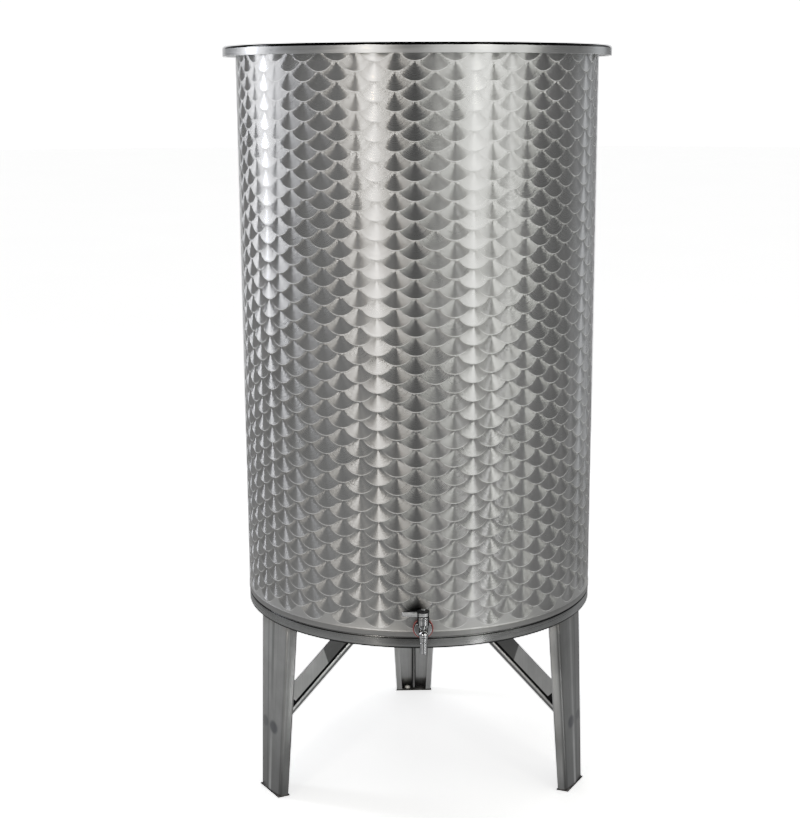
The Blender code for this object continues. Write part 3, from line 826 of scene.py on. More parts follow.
def leg_sheet_finish(look):
    """Cold-rolled sheet of the legs, grained lengthways, with the heat tint of its spot welds,
    and with painted light and shade on its faces, flanks, folds and braces.

    The three legs share one pattern: across and outward are measured in each leg's own third.
    """
    finish = Finish("leg_sheet")
    place = finish.place()
    x, y, z = finish.parts(place)
    third = math.radians(120.0)
    local = finish.math("FLOORED_MODULO", finish.azimuth(x, y) + third, third) - third / 2
    radius = finish.length(x, y)
    across = radius * finish.math("SINE", local)
    outward = radius * finish.math("COSINE", local)
    grain = finish.noise(finish.xyz(across * 300.0, outward * 300.0, z * 5.0), 1.0, 4.0, 0.65)
    cloud = finish.noise(place, 14.0, 4.0, 0.6)

    # Where the point is: which side, face, flank or rib
    handed = across * (finish.math("SIGN", x) * -1.0)
    side = abs(across)
    face = outward - line_at(z, LEG_FACE_R)
    front = finish.ramp(face, -0.0075, -0.0035)
    outer = (outward > line_at(z, LEG_FACE_R, 0.0235)) * (side > 0.0045)
    inner = (side < 0.0045) * (face < -0.0035)
    right, back = x > 0.05, y > 0.03

    # Painted shade: dark lines along the creases and folds, and a painted shadow under the drum
    crease = finish.ramp(abs(side - line_at(z, LEG_CREASE_HALF)), 0.0004, 0.0026, 1.0, 0.0)
    crease = crease * finish.either(handed > 0.0, 0.30, 0.06)
    fold = finish.ramp(abs(side - line_at(z, LEG_FACE_HALF, 0.0020)), 0.0008, 0.0030, 0.22, 0.0)
    under = finish.ramp(z, LEG_TOP - 0.0100, LEG_TOP - 0.0075, 0.0, 0.75) * outer
    under = under * finish.ramp(handed, -0.022, -0.018)
    lines = finish.larger(finish.larger(crease, fold) * front, under)

    # Painted light: faces brighter upwards and duller on the right leg, flanks and the back leg
    # toned as the light falls on them
    rise = finish.ramp(z, 0.0, 0.30, 0.45, 1.50)
    facing = rise * (1.0 - right * finish.ramp(z, 0.05, 0.25, 0.15, 0.48))
    turned = finish.ramp(z, 0.02, 0.10, 1.30, 0.62) * rise * (right * 0.6 + 1.0)
    flank = finish.either(back, finish.either(front, turned, facing), 1.10)
    flank = finish.either(outer, 1.0, flank)
    web, corner, nose = brace_shades(finish, outward, z)
    tone = finish.ramp(cloud, 0.3, 0.75, 0.88, 1.06) * finish.ramp(grain, 0.25, 0.75, 0.95, 1.04)
    tone = tone * (flank * finish.either(inner, 1.0, web))
    # Painted shade along the nose of the rib's hem in the back leg
    corner = finish.larger(corner, nose * (finish.ramp(side, 0.0014, 0.0022) * back))

    top_heat = finish.ramp(z, LEG_TOP - 0.045, LEG_TOP - 0.012, 0.0, 0.5)
    top_heat = top_heat * finish.ramp(cloud, 0.35, 0.65)
    spots = heat_spots(finish, handed, z, cloud) * (outward > 0.31)
    colour = finish.blend(top_heat, finish.scaled(tuple(look.leg_steel), tone), STRAW_COLOUR)
    colour = finish.blend(spots, colour, HEAT_COLOUR)
    # Painted shade in near black along the lines and in the braces' corners
    colour = finish.blend(finish.larger(lines, inner * corner), colour, SHADE_LINE_COLOUR)
    rough = finish.ramp(grain, 0.25, 0.75, -0.015, 0.02) + finish.ramp(cloud, 0.3, 0.7, 0.29, 0.33)
    level = finish.vector("CROSS_PRODUCT", finish.normal(), (0.0, 0.0, 1.0))
    finish.set(Base_Color=colour, Metallic=1.0, Roughness=rough, Anisotropic=0.3,
               Tangent=finish.vector("NORMALIZE", level), Normal=finish.bump(grain, 0.000002))
    return finish.material


def weld_metal():
    """Weld beads: dull ripples with straw and blue heat colours."""
    finish = Finish("weld_metal")
    place = finish.place()
    ripple = finish.noise(place, 520.0, 2.0, 0.5)
    heat = finish.noise(place, 60.0, 2.0, 0.5)
    colour = finish.blend(finish.ramp(heat, 0.35, 0.65), (0.34, 0.33, 0.31), (0.22, 0.21, 0.22))
    colour = finish.blend(finish.ramp(ripple, 0.4, 0.7, 0.0, 0.4), colour, (0.40, 0.33, 0.24))
    finish.set(Base_Color=colour, Metallic=1.0, Roughness=finish.ramp(ripple, 0.3, 0.7, 0.34, 0.52),
               Normal=finish.bump(ripple, 0.0003))
    return finish.material


# The painted dark reflections on the flanks of the bonnet and the lever's hub: how far to the side
# of the stem they start, are full, start to end and are gone. They stand over a height.
FLANK_SIDES = (0.0066, 0.0082, 0.0102, 0.0112)
FLANK_LOW = TAP_Z + 0.0125
# The lever's top, with painted light: lighter before the stem and painted shade behind it: where
# it starts to darken and is dark, and its tones there
LEVER_SHADE = (0.0002, 0.0016, 1.5, 0.07)


def plating(name, colour, gloss, metal):
    """Bright plating of the tap with faint wipe marks, and painted dark reflections on the flanks
    of bonnet and hub.
    """
    finish = Finish(name)
    place = finish.place()
    smear = finish.noise(finish.vector("MULTIPLY", place, (60.0, 60.0, 150.0)), 1.0, 4.0, 0.6)
    fine = finish.noise(place, 1800.0, 2.0, 0.5)
    rough = finish.ramp(smear, 0.35, 0.7, gloss, gloss + 0.07)
    rough = rough + finish.ramp(fine, 0.3, 0.7, 0.0, 0.01)
    x, depth, z = finish.parts(place)
    side = abs(x - STEM_X)
    flank = finish.ramp(side, *FLANK_SIDES[:2]) * finish.ramp(side, *FLANK_SIDES[2:], 1.0, 0.0)
    flank = flank * (z > FLANK_LOW)
    # Painted dark reflections on the flanks of bonnet and hub
    tone = finish.ramp(smear, 0.3, 0.75, 0.90, 1.03) * (flank * -0.82 + 1.0)
    if name == "lever_plating":
        # Painted light on the lever's top: a painted highlight before the stem, painted shade
        # behind it
        _, _, up = finish.parts(finish.normal())
        top = finish.ramp(depth + (DRUM_R + STEM_REACH), *LEVER_SHADE)
        tone = tone * finish.either(finish.ramp(up, 0.2, 0.5), 1.0, top)
    finish.set(Base_Color=finish.scaled(tuple(colour), tone), Metallic=metal, Roughness=rough,
               Specular_Tint=(0.04, 0.04, 0.04, 1.0), Normal=finish.bump(smear, 0.000004))
    return finish.material


def moulding(name, colour, rough, pebble, depth, dust=(0.35, 0.34, 0.32), dusting=0.12, shine=0.5):
    """Plastic or rubber: fine pebbling, uneven gloss and a little pale dust."""
    finish = Finish(name)
    place = finish.place()
    pebbles = finish.noise(place, pebble, 3.0, 0.6)
    cloud = finish.noise(place, 45.0, 4.0, 0.62)
    _, _, up = finish.parts(finish.normal())
    settled = finish.ramp(up, 0.2, 0.9, 0.25, 1.0) * finish.ramp(cloud, 0.42, 0.72)
    tone = finish.ramp(cloud, 0.3, 0.7, 0.85, 1.15)
    if name == "gasket_rubber":
        x, _, z = finish.parts(place)
        off = finish.length(x - math.sin(math.radians(TAP_AZIMUTH)) * DRUM_R, z - TAP_Z)
        # Painted shade on the gasket beside the flange's edge
        tone = tone * finish.line(off, FLANGE_R + 0.0004, FLANGE_R + 0.0016, 0.08)
    base = finish.scaled(tuple(colour), tone)
    gloss = finish.ramp(pebbles, 0.3, 0.7, -0.06, 0.06)
    gloss = gloss + finish.ramp(cloud, 0.3, 0.7, rough - 0.04, rough + 0.06)
    finish.set(Base_Color=finish.blend(settled * dusting, base, dust), Metallic=0.0,
               Roughness=gloss, Specular_IOR_Level=shine, Normal=finish.bump(pebbles, depth))
    return finish.material


def finish_of(name):
    """A finish by its name, made when it is first asked for."""
    made = bpy.data.materials.get(name)
    if made:
        return made
    look = bpy.context.scene.tank_finish
    satin = look.satin_steel
    makers = {
        "drum_turning": lambda: drum_turning(bpy.context.scene.tank_sizes, look),
        "satin_sheet": lambda: satin_sheet(name, satin, 0.27),
        # The band and the rim: the satin steel made darker and lighter, as shaded and lit copies of
        # it
        "band_sheet": lambda: satin_sheet(name, shade(satin, 0.80), 0.28),
        "rim_sheet": lambda: satin_sheet(name, shade(satin, 1.25), 0.34, 0.50, RIM_TOP - 0.0050),
        "leg_sheet": lambda: leg_sheet_finish(look),
        "weld_metal": weld_metal,
        "tap_plating": lambda: plating(name, look.chrome, 0.13, 1.0),
        "lever_plating": lambda: plating(name, shade(look.chrome, 0.66), 0.26, 0.75),
        "screw_zinc": lambda: plating(name, (0.86, 0.83, 0.76), 0.34, 0.10),
        "black_cap": lambda: moulding(name, look.black, 0.30, 1500.0, 0.00003, dusting=0.02,
                                      shine=0.15),
        "foot_rubber": lambda: moulding(name, look.pad, 0.72, 900.0, 0.00012, dusting=0.35),
        "gasket_rubber": lambda: moulding(name, look.red, 0.46, 1400.0, 0.00004, dusting=0.08),
        "tube_rubber": lambda: moulding(name, look.tube, 0.55, 1100.0, 0.00005, (0.8, 0.8, 0.78)),
    }
    return makers[name]()


# Pieces


def to_each_leg(piece, name, finish, slot, node="", smooth=32.0):
    """Copy a piece into the three legs, each copy for the solid of its side, and drop the first."""
    for side, azimuth in LEG_AZIMUTHS.items():
        copy = to_drum(copy_piece(piece, name + side), azimuth)
        dress(copy, finish, slot, TANK, *([node + side] if node else []), smooth=smooth)
    drop(piece)


class WINETANK_OT_drum(bpy.types.Operator):
    """Roll the drum's wall, press its lower edge, drill it for the tap and weld its seam."""

    bl_idname = "winetank.drum"
    bl_label = "Drum wall"

    def execute(self, context):
        steps = context.scene.tank_sizes.round_steps
        hole_top = TAP_Z + HOLE_R + 0.0010
        press = 0.0012
        profile = [
            (DRUM_R, SHELL_TOP), (DRUM_R, hole_top), (DRUM_R, EDGE_TOP + press),
            (DRUM_R + 0.00015, EDGE_TOP + 0.4 * press), (EDGE_R - 0.00015, EDGE_TOP - 0.4 * press),
            (EDGE_R, EDGE_TOP - press), (EDGE_R, EDGE_LOW + 0.0010),
            (EDGE_R - 0.0003, EDGE_LOW + 0.0002), (EDGE_R - 0.0008, EDGE_LOW),
            (WALL_IN, EDGE_LOW), (WALL_IN, hole_top), (WALL_IN, SHELL_TOP),
        ]
        wall = turn_piece("drum_wall", profile, steps, ring=True)
        drill = turn_piece("tap_hole", [(HOLE_R, 0.02), (HOLE_R, -0.02)], 48)
        move_piece(drill, (0, -DRUM_R, TAP_Z), (90, 0, 0))
        move_piece(drill, turn=(0, 0, TAP_AZIMUTH))
        combine(wall, drill, "DIFFERENCE")
        dress(to_drum(wall), "drum_turning", "engine_turned_steel", TANK, "shell")

        low = EDGE_TOP + 0.0020
        half_bead = [(0.0022, -0.0004), (0.0020, 0.0001), (0.0012, 0.0003)]
        bead = [(-x, y) for x, y in half_bead] + [(0, 0.0004)] + half_bead[::-1]
        line = [(x, -DRUM_R - y, low) for x, y in bead]
        seam = cut_plate("drum_seam", line, (0, 0, SHELL_TOP - low))
        dress(to_drum(seam, 180.0), "weld_metal", "brushed_steel", TANK, smooth=60.0)
        return {"FINISHED"}


class WINETANK_OT_rim(bpy.types.Operator):
    """Roll the rim out round the mouth and turn it down into a lip."""

    bl_idname = "winetank.rim"
    bl_label = "Rim"

    def execute(self, context):
        sizes = context.scene.tank_sizes
        sheet, bend = sizes.rim_sheet, sizes.rim_bend
        centre = (RIM_R - bend, RIM_TOP - bend)
        soft = sheet / 2
        profile = [(WALL_IN + 0.0003, RIM_TOP - 0.0003), (WALL_IN + 0.0010, RIM_TOP)]
        profile += arc(centre, bend, 90, 0, 10)
        profile += arc((RIM_R - soft, RIM_LOW + soft), soft, 0, -180, 6)
        profile += arc(centre, bend - sheet, 0, 90, 8)
        profile += [(WALL_IN + 0.0003, RIM_TOP - sheet)]
        rim = turn_piece("rolled_rim", profile, sizes.round_steps, ring=True)
        dress(to_drum(rim), "rim_sheet", "brushed_steel", TANK, "top_rim")
        return {"FINISHED"}


class WINETANK_OT_foot(bpy.types.Operator):
    """Roll the band round the drum's foot and press the bottom that sits inside it."""

    bl_idname = "winetank.foot"
    bl_label = "Foot band and bottom"

    def execute(self, context):
        steps = context.scene.tank_sizes.round_steps
        soft = 0.0007
        profile = arc((BAND_R - soft, BAND_TOP - soft), soft, 90, 0, 3)
        profile += arc((BAND_R - soft, BAND_LOW + soft), soft, 0, -90, 3)
        profile += arc((WALL_IN + soft, BAND_LOW + soft), soft, -90, -180, 3)
        profile += [(WALL_IN, BAND_TOP)]
        band = turn_piece("foot_band", profile, steps, ring=True)
        dress(to_drum(band), "band_sheet", "brushed_steel", TANK, "base_band")

        bend, middle = 0.0035, 0.020
        centre = (BOTTOM_R - bend, BOTTOM_TOP - bend)
        profile = [(middle, BOTTOM_TOP)] + arc(centre, bend, 90, 0, 6)
        profile += [(BOTTOM_R, BOTTOM_LOW), (BOTTOM_R - WALL, BOTTOM_LOW)]
        profile += arc(centre, bend - WALL, 0, 90, 4) + [(middle, BOTTOM_TOP - WALL)]
        bottom = turn_piece("pressed_bottom", profile, steps)
        dress(to_drum(bottom), "satin_sheet", "brushed_steel", TANK, "bottom_plate")
        return {"FINISHED"}


def leg_skin(height):
    """The folded channel's outer side cut level, from one lip round to the other."""
    face = at_height(LEG_FACE_R, height)
    half = at_height(LEG_FACE_HALF, height)
    open_half = at_height(LEG_OPEN_HALF, height)
    crease = at_height(LEG_CREASE_HALF, height)
    right = [(open_half - LEG_LIP, face - LEG_DEPTH), (open_half, face - LEG_DEPTH), (half, face),
             (crease, face + LEG_CREASE_PROUD)]
    left = [(-across, radius) for across, radius in reversed(right)]
    return [Vector((across, -radius, height)) for across, radius in right + left]


def runs_between(edge, low, high):
    """Whether an edge runs from one point to the other."""
    return all(min((vert.co - low).length, (vert.co - high).length) < 1e-5 for vert in edge.verts)


class WINETANK_OT_legs(bpy.types.Operator):
    """Fold one leg from sheet, weld it, and copy it to its three places."""

    bl_idname = "winetank.legs"
    bl_label = "Legs"

    # Corners of the skin that are bent wide, and those creased sharply
    BENDS = (1, 2, 5, 6)
    CREASES = (3, 4)

    def execute(self, context):
        sizes = context.scene.tank_sizes
        foot, top = leg_skin(LEG_FOOT), leg_skin(LEG_TOP)
        leg = draw_line("leg", foot)
        bpy.ops.mesh.select_all(action="SELECT")
        draw_out((0, 0, LEG_TOP - LEG_FOOT))
        for low, high in zip(foot, top):
            raised = Vector((low.x, low.y, LEG_TOP))
            pick(leg, "verts", lambda vert: (vert.co - raised).length < 1e-5)
            bpy.ops.transform.translate(value=tuple(high - raised))
        folds = ((self.BENDS, sizes.leg_bend, 5), (self.CREASES, 0.0022, 3))
        for corners, width, segments in folds:
            runs = [(foot[corner], top[corner]) for corner in corners]
            pick(leg, "edges", lambda edge: any(runs_between(edge, *run) for run in runs))
            bpy.ops.mesh.bevel(offset=width, segments=segments, profile=0.5, offset_type="OFFSET")
        close_edit()
        self.face_outwards(leg)
        thicken(leg, sizes.leg_sheet, -1.0)
        round_edges(leg, 0.0003, 2, 60.0)
        to_each_leg(leg, "folded_leg_", "leg_sheet", "leg_steel", "leg_", smooth=25.0)

        # The bead that holds each leg under the bottom
        line = [point + Vector((0, 0, -0.0006)) for point in leg_skin(LEG_TOP)]
        bead = rod_along("bead", line, sizes.weld_radius, around=2)
        to_each_leg(bead, "leg_weld_", "weld_metal", "leg_steel", smooth=60.0)
        return {"FINISHED"}

    def face_outwards(self, leg):
        """Turn the open sheet's faces away from the drum's axis."""
        edit(leg, "SELECT")
        shape = bmesh.from_edit_mesh(leg.data)
        front = max(shape.faces, key=lambda face: -face.calc_center_median().y)
        if front.normal.y > 0:
            bpy.ops.mesh.flip_normals()
        bpy.ops.object.mode_set(mode="OBJECT")


def brace_edge(height):
    """Radius of the brace's lower edge at a height."""
    return BRACE_LOW_R - (height - BRACE_LOW_Z) / BRACE_SLOPE


def rib_edge(height):
    """Radius of the edge of the upright rib that runs down inside the leg."""
    return at_height(LEG_FACE_R, height) - RIB_DEPTH


def brace_line(inset):
    """The brace's free edge from foot to bottom, as (radius, height), moved in from the edge."""
    reach = BRACE_LOW_R + BRACE_LOW_Z / BRACE_SLOPE - LEG_FACE_R[0] + RIB_DEPTH
    knee = reach / (LEG_LEAN + 1 / BRACE_SLOPE)
    upright = Vector((LEG_LEAN, 1.0)).normalized()
    slant = Vector((-1 / BRACE_SLOPE, 1.0)).normalized()
    along = (upright + slant).normalized()
    start = Vector((rib_edge(LEG_FOOT), LEG_FOOT)) + Vector((upright.y, -upright.x)) * inset
    start -= upright * (start.y - LEG_FOOT) / upright.y
    corner = Vector((rib_edge(knee), knee))
    corner += Vector((along.y, -along.x)) * inset / along.dot(upright)
    end = Vector((brace_edge(LEG_TOP), LEG_TOP)) + Vector((slant.y, -slant.x)) * inset
    end += slant * (LEG_TOP - end.y) / slant.y
    return [start, corner, end]


def upright_plate(name, line, sheet):
    """A plate cut along (radius, height) points and as thick as its sheet, in the drum's radius."""
    outline = [(-sheet / 2, -radius, height) for radius, height in line]
    return cut_plate(name, outline, (sheet, 0, 0))


class WINETANK_OT_braces(bpy.types.Operator):
    """Cut one brace with its rib, hem its free edge, and copy it into the three legs."""

    bl_idname = "winetank.braces"
    bl_label = "Braces"

    def execute(self, context):
        sizes = context.scene.tank_sizes
        rise = BRACE_WIDTH * math.hypot(1, BRACE_SLOPE)
        back = LEG_FACE_R[0] - sizes.leg_sheet - 2 * GAP
        meet = BRACE_LOW_Z + (BRACE_LOW_R - back) * BRACE_SLOPE + rise
        meet /= 1 + LEG_LEAN * BRACE_SLOPE
        upper = BRACE_LOW_R - (LEG_TOP - rise - BRACE_LOW_Z) / BRACE_SLOPE
        line = [tuple(point) for point in brace_line(HEM_DEPTH / 4)]
        line += [(upper, LEG_TOP), (back + LEG_LEAN * meet, meet), (back, LEG_FOOT)]
        web = round_edges(upright_plate("web", line, BRACE_SHEET), 0.0003, 1, 60.0)
        line = [tuple(point) for point in brace_line(0.0) + brace_line(HEM_DEPTH)[::-1]]
        hem = round_edges(upright_plate("hem", line, HEM_WIDTH), sizes.hem_round, 6, 60.0)
        brace = combine(web, hem, "UNION")
        to_each_leg(brace, "hemmed_brace_", "leg_sheet", "leg_steel", "brace_", smooth=35.0)
        return {"FINISHED"}


class WINETANK_OT_feet(bpy.types.Operator):
    """Lay the pads under the legs and drive their cross-headed screws."""

    bl_idname = "winetank.feet"
    bl_label = "Foot pads and screws"

    # The screw's head: radius, height, and its dome as shares of both
    HEAD_R = 0.0055
    HEAD_TALL = 0.0050
    DOME = ((1, 0), (1, 0.2), (0.97, 0.42), (0.87, 0.65), (0.70, 0.83), (0.48, 0.94), (0.22, 1))
    SLOT_HALF = (0.0030, 0.0005)

    def execute(self, context):
        face = LEG_FACE_R[0] + LEG_CREASE_PROUD + PAD_MARGIN
        back = LEG_FACE_R[0] - LEG_DEPTH - PAD_MARGIN
        half = LEG_FACE_HALF[0] + PAD_MARGIN
        open_half = LEG_OPEN_HALF[0] + PAD_MARGIN
        outline = [(-half, -face, 0), (half, -face, 0), (open_half, -back, 0),
                   (-open_half, -back, 0)]
        pad = round_edges(cut_plate("pad", outline, (0, 0, PAD_TOP)), 0.0007, 3)
        to_each_leg(pad, "rubber_pad_", "foot_rubber", "pad_rubber", "foot_pad_")
        screw = self.turn_screw()
        move_piece(screw, (SCREW_SIDE, -(LEG_FACE_R[0] - SCREW_BACK), LEG_FOOT))
        to_each_leg(screw, "cross_screw_", "screw_zinc", "chrome", "foot_screw_")
        return {"FINISHED"}

    def turn_screw(self):
        """A domed head with a cross recess."""
        dome = [(self.HEAD_R * wide, self.HEAD_TALL * tall) for wide, tall in self.DOME]
        screw = turn_piece("screw", dome, 32)
        x, y = self.SLOT_HALF
        outline = [(-x, -y, 0), (x, -y, 0), (x, y, 0), (-x, y, 0)]
        for turn in (0, 90):
            slot = cut_plate("slot", outline, (0, 0, 0.004))
            move_piece(slot, (0, 0, self.HEAD_TALL * 0.5), (0, 0, turn))
            combine(screw, slot, "DIFFERENCE")
        return screw


def soft_ring(name, inner, outer, low, high, soft, steps=96):
    """A ring about Z whose outer edges are rounded."""
    profile = arc((outer - soft, high - soft), soft, 90, 0, 3)
    profile += arc((outer - soft, low + soft), soft, 0, -90, 3)
    profile += [(inner, low), (inner, high)]
    return turn_piece(name, profile, steps, ring=True)


def thread(radius, start, end, depth=0.0005, pitch=0.0013):
    """Profile points of a thread's grooves, from one height down or up to another."""
    points = []
    turns = int(abs(end - start) / pitch)
    way = math.copysign(pitch, end - start)
    for i in range(turns):
        points += [(radius, start + way * i), (radius - depth, start + way * (i + 0.45)),
                   (radius, start + way * (i + 0.90))]
    return points


class WINETANK_OT_tap_seat(bpy.types.Operator):
    """Turn what holds the tap in the wall: gasket, flange with its tail, washer and nut."""

    bl_idname = "winetank.tap_seat"
    bl_label = "Tap seat"

    # Ends of the threaded tail, of the washer and of the nut, inwards from the drum
    TAIL = (-0.0005, -0.0168, -0.0180)
    WASHER = (-0.0049, -0.0029)
    NUT = (-0.0112, -0.0052)

    def execute(self, context):
        out = (90, 0, 0)
        gasket = soft_ring("red_gasket_ring", HOLE_R, GASKET_R, GASKET_LOW, GASKET_HIGH, 0.0008)
        dress(to_tap(gasket, turn=out), "gasket_rubber", "red_gasket", TANK, "tap_gasket")

        soft, small, core = 0.0010, 0.0004, 0.004
        start, threaded, end = self.TAIL
        profile = [(core, FLANGE_HIGH)]
        profile += arc((FLANGE_R - soft, FLANGE_HIGH - soft), soft, 90, 0, 5)
        profile += arc((FLANGE_R - small, FLANGE_LOW + small), small, 0, -90, 3)
        profile += [(TAIL_R, FLANGE_LOW)] + thread(TAIL_R, start, threaded)
        profile += [(TAIL_R - 0.0008, end), (core, end)]
        flange = turn_piece("threaded_flange", profile, 96)
        dress(to_tap(flange, turn=out), "tap_plating", "chrome", TANK, "tap_flange")

        washer = soft_ring("inner_washer", HOLE_R, NUT_R, *self.WASHER, 0.0005)
        dress(to_tap(washer, turn=out), "gasket_rubber", "red_gasket", TANK, "tap_washer")
        nut = turn_piece("hex_nut", [(NUT_R, height) for height in self.NUT], 6)
        drill = turn_piece("nut_hole", [(HOLE_R, -0.03), (HOLE_R, 0.02)], 64)
        combine(nut, drill, "DIFFERENCE")
        round_edges(nut, 0.0006, 2, 40.0)
        dress(to_tap(nut, turn=out), "satin_sheet", "brushed_steel", TANK, "tap_nut")
        return {"FINISHED"}


class WINETANK_OT_tap_body(bpy.types.Operator):
    """Cast the tap's body, and turn its bonnet and its open spout."""

    bl_idname = "winetank.tap_body"
    bl_label = "Tap body"

    def execute(self, context):
        self.cast_body()
        self.turn_bonnet()
        self.turn_spout()
        return {"FINISHED"}

    def cast_body(self):
        """The barrel from the flange, the neck under the bonnet, and the elbow over the spout."""
        barrel = [(0.0086, 0.0082), (0.0086, 0.0098), (0.0076, 0.0112), (0.0076, SPOUT_REACH)]
        body = move_piece(turn_piece("cast_body", barrel, 64), turn=(90, 0, 0))
        neck = [(0.0063, 0), (0.0063, 0.0080), (0.0070, 0.0092)]
        elbow = arc((0, 0), 0.0081, 80, -80, 20)
        socket = [(0.0070, -0.0100), (0.0070, 0)]
        for name, profile, reach in (("neck", neck, STEM_REACH), ("elbow", elbow, SPOUT_REACH),
                                     ("socket", socket, SPOUT_REACH)):
            part = turn_piece(name, profile, 64)
            combine(body, move_piece(part, (0, -reach, 0)), "UNION")
        cast(body, 0.00035, 6)
        dress(to_tap(body), "tap_plating", "chrome", TANK, "tap_body", smooth=60.0)

    def turn_bonnet(self):
        """The stem's housing, with a groove round its head and a taper to its foot."""
        soft, groove, bore = 0.0008, 0.0005, 0.0043
        profile = [(bore, BONNET_TOP - 0.0140), (bore, BONNET_TOP - 0.0004), (0.0047, BONNET_TOP)]
        profile += arc((BONNET_R - soft, BONNET_TOP - soft), soft, 90, 0, 4)
        profile += [(BONNET_R, 0.0246), (BONNET_R - groove, 0.0241), (BONNET_R - groove, 0.0232)]
        profile += [(BONNET_R, 0.0227), (BONNET_R, 0.0140), (BONNET_R - 0.0006, 0.0128)]
        profile += [(0.0089, 0.0104), (0.0085, BONNET_LOW), (0.0030, BONNET_LOW)]
        bonnet = to_tap(turn_piece("turned_bonnet", profile, 96), STEM_REACH)
        dress(bonnet, "tap_plating", "chrome", TANK, "tap_bonnet", smooth=25.0)

    def turn_spout(self):
        """The open pipe under the elbow, with a groove round its top."""
        outer, bore, low, high, groove, edge = 0.00635, 0.0050, -0.0320, -0.0103, 0.0004, 0.0003
        profile = [(outer, high), (outer, high - 0.0016), (outer - groove, high - 0.0020)]
        profile += [(outer - groove, high - 0.0026), (outer, high - 0.0030), (outer, low + 0.0004)]
        profile += [(outer - edge, low), (bore + edge, low), (bore, low + 0.0004), (bore, high)]
        spout = to_tap(turn_piece("open_spout", profile, 96, ring=True), SPOUT_REACH)
        dress(spout, "tap_plating", "chrome", TANK, "tap_spout", smooth=25.0)


class WINETANK_OT_lever(bpy.types.Operator):
    """Press the lever, and turn its stem, cap and screw, which move with it."""

    bl_idname = "winetank.lever"
    bl_label = "Tap lever"

    def execute(self, context):
        low, radius, waist = BONNET_TOP - 0.0140 + GAP, 0.0040, 0.0036
        profile = [(0.0034, low), (radius, low + 0.0006), (radius, 0.0280), (waist, 0.0283)]
        profile += [(waist, 0.0289), (radius, 0.0292), (radius, 0.0332)]
        stem = turn_piece("turned_stem", profile, 48)
        dress(to_tap(stem, STEM_REACH), "tap_plating", "chrome", LEVER, "tap_stem")
        self.press_lever()

        edge, soft = 0.0003, 0.0010
        profile = [(HUB_R - edge, CAP_LOW), (HUB_R, CAP_LOW + edge)]
        profile += arc((HUB_R - soft, CAP_TOP - soft), soft, 0, 90, 5)
        profile += [(0.0060, CAP_TOP), (0.0056, CAP_TOP - 0.0004), (0.0030, CAP_TOP - 0.0004)]
        cap = to_tap(turn_piece("black_lever_cap", profile, 96), STEM_REACH)
        dress(cap, "black_cap", "black_plastic", LEVER, "tap_cap", smooth=25.0)

        low = CAP_TOP + GAP
        screw = turn_piece("hex_screw", [(0.0042, low), (0.0042, low + 0.0022)], 6)
        round_edges(screw, 0.0003, 2, 40.0)
        dress(to_tap(screw, STEM_REACH), "tap_plating", "chrome", LEVER, "tap_screw")
        return {"FINISHED"}

    def press_lever(self):
        """A round hub drawn out to a narrower end, hollow underneath, with a rolled upper edge."""
        reach, end, sheet = 0.0365, 0.0060, 0.0015
        span = reach - end
        turn = 180 - math.degrees(math.acos((HUB_R - end) / span))
        outline = arc((0, 0), HUB_R, -turn, turn, 30) + arc((-span, 0), end, turn, 360 - turn, 14)
        line = [(x, y, LEVER_LOW) for x, y in outline]
        lever = cut_plate("pressed_lever", line, (0, 0, LEVER_TOP - LEVER_LOW))
        edit(lever)
        pick(lever, "faces", lambda face: face.normal.z < -0.9)
        bpy.ops.mesh.inset(thickness=sheet, use_even_offset=True)
        draw_out((0, 0, LEVER_TOP - sheet - LEVER_LOW))
        pick(lever, "edges",
             lambda edge: all(abs(vert.co.z - LEVER_TOP) < 1e-6 for vert in edge.verts))
        bpy.ops.mesh.bevel(offset=0.0012, segments=5, profile=0.5)
        close_edit()
        round_edges(lever, 0.0002, 2, 60.0)
        dress(to_tap(lever, STEM_REACH), "lever_plating", "chrome", LEVER, "tap_lever")


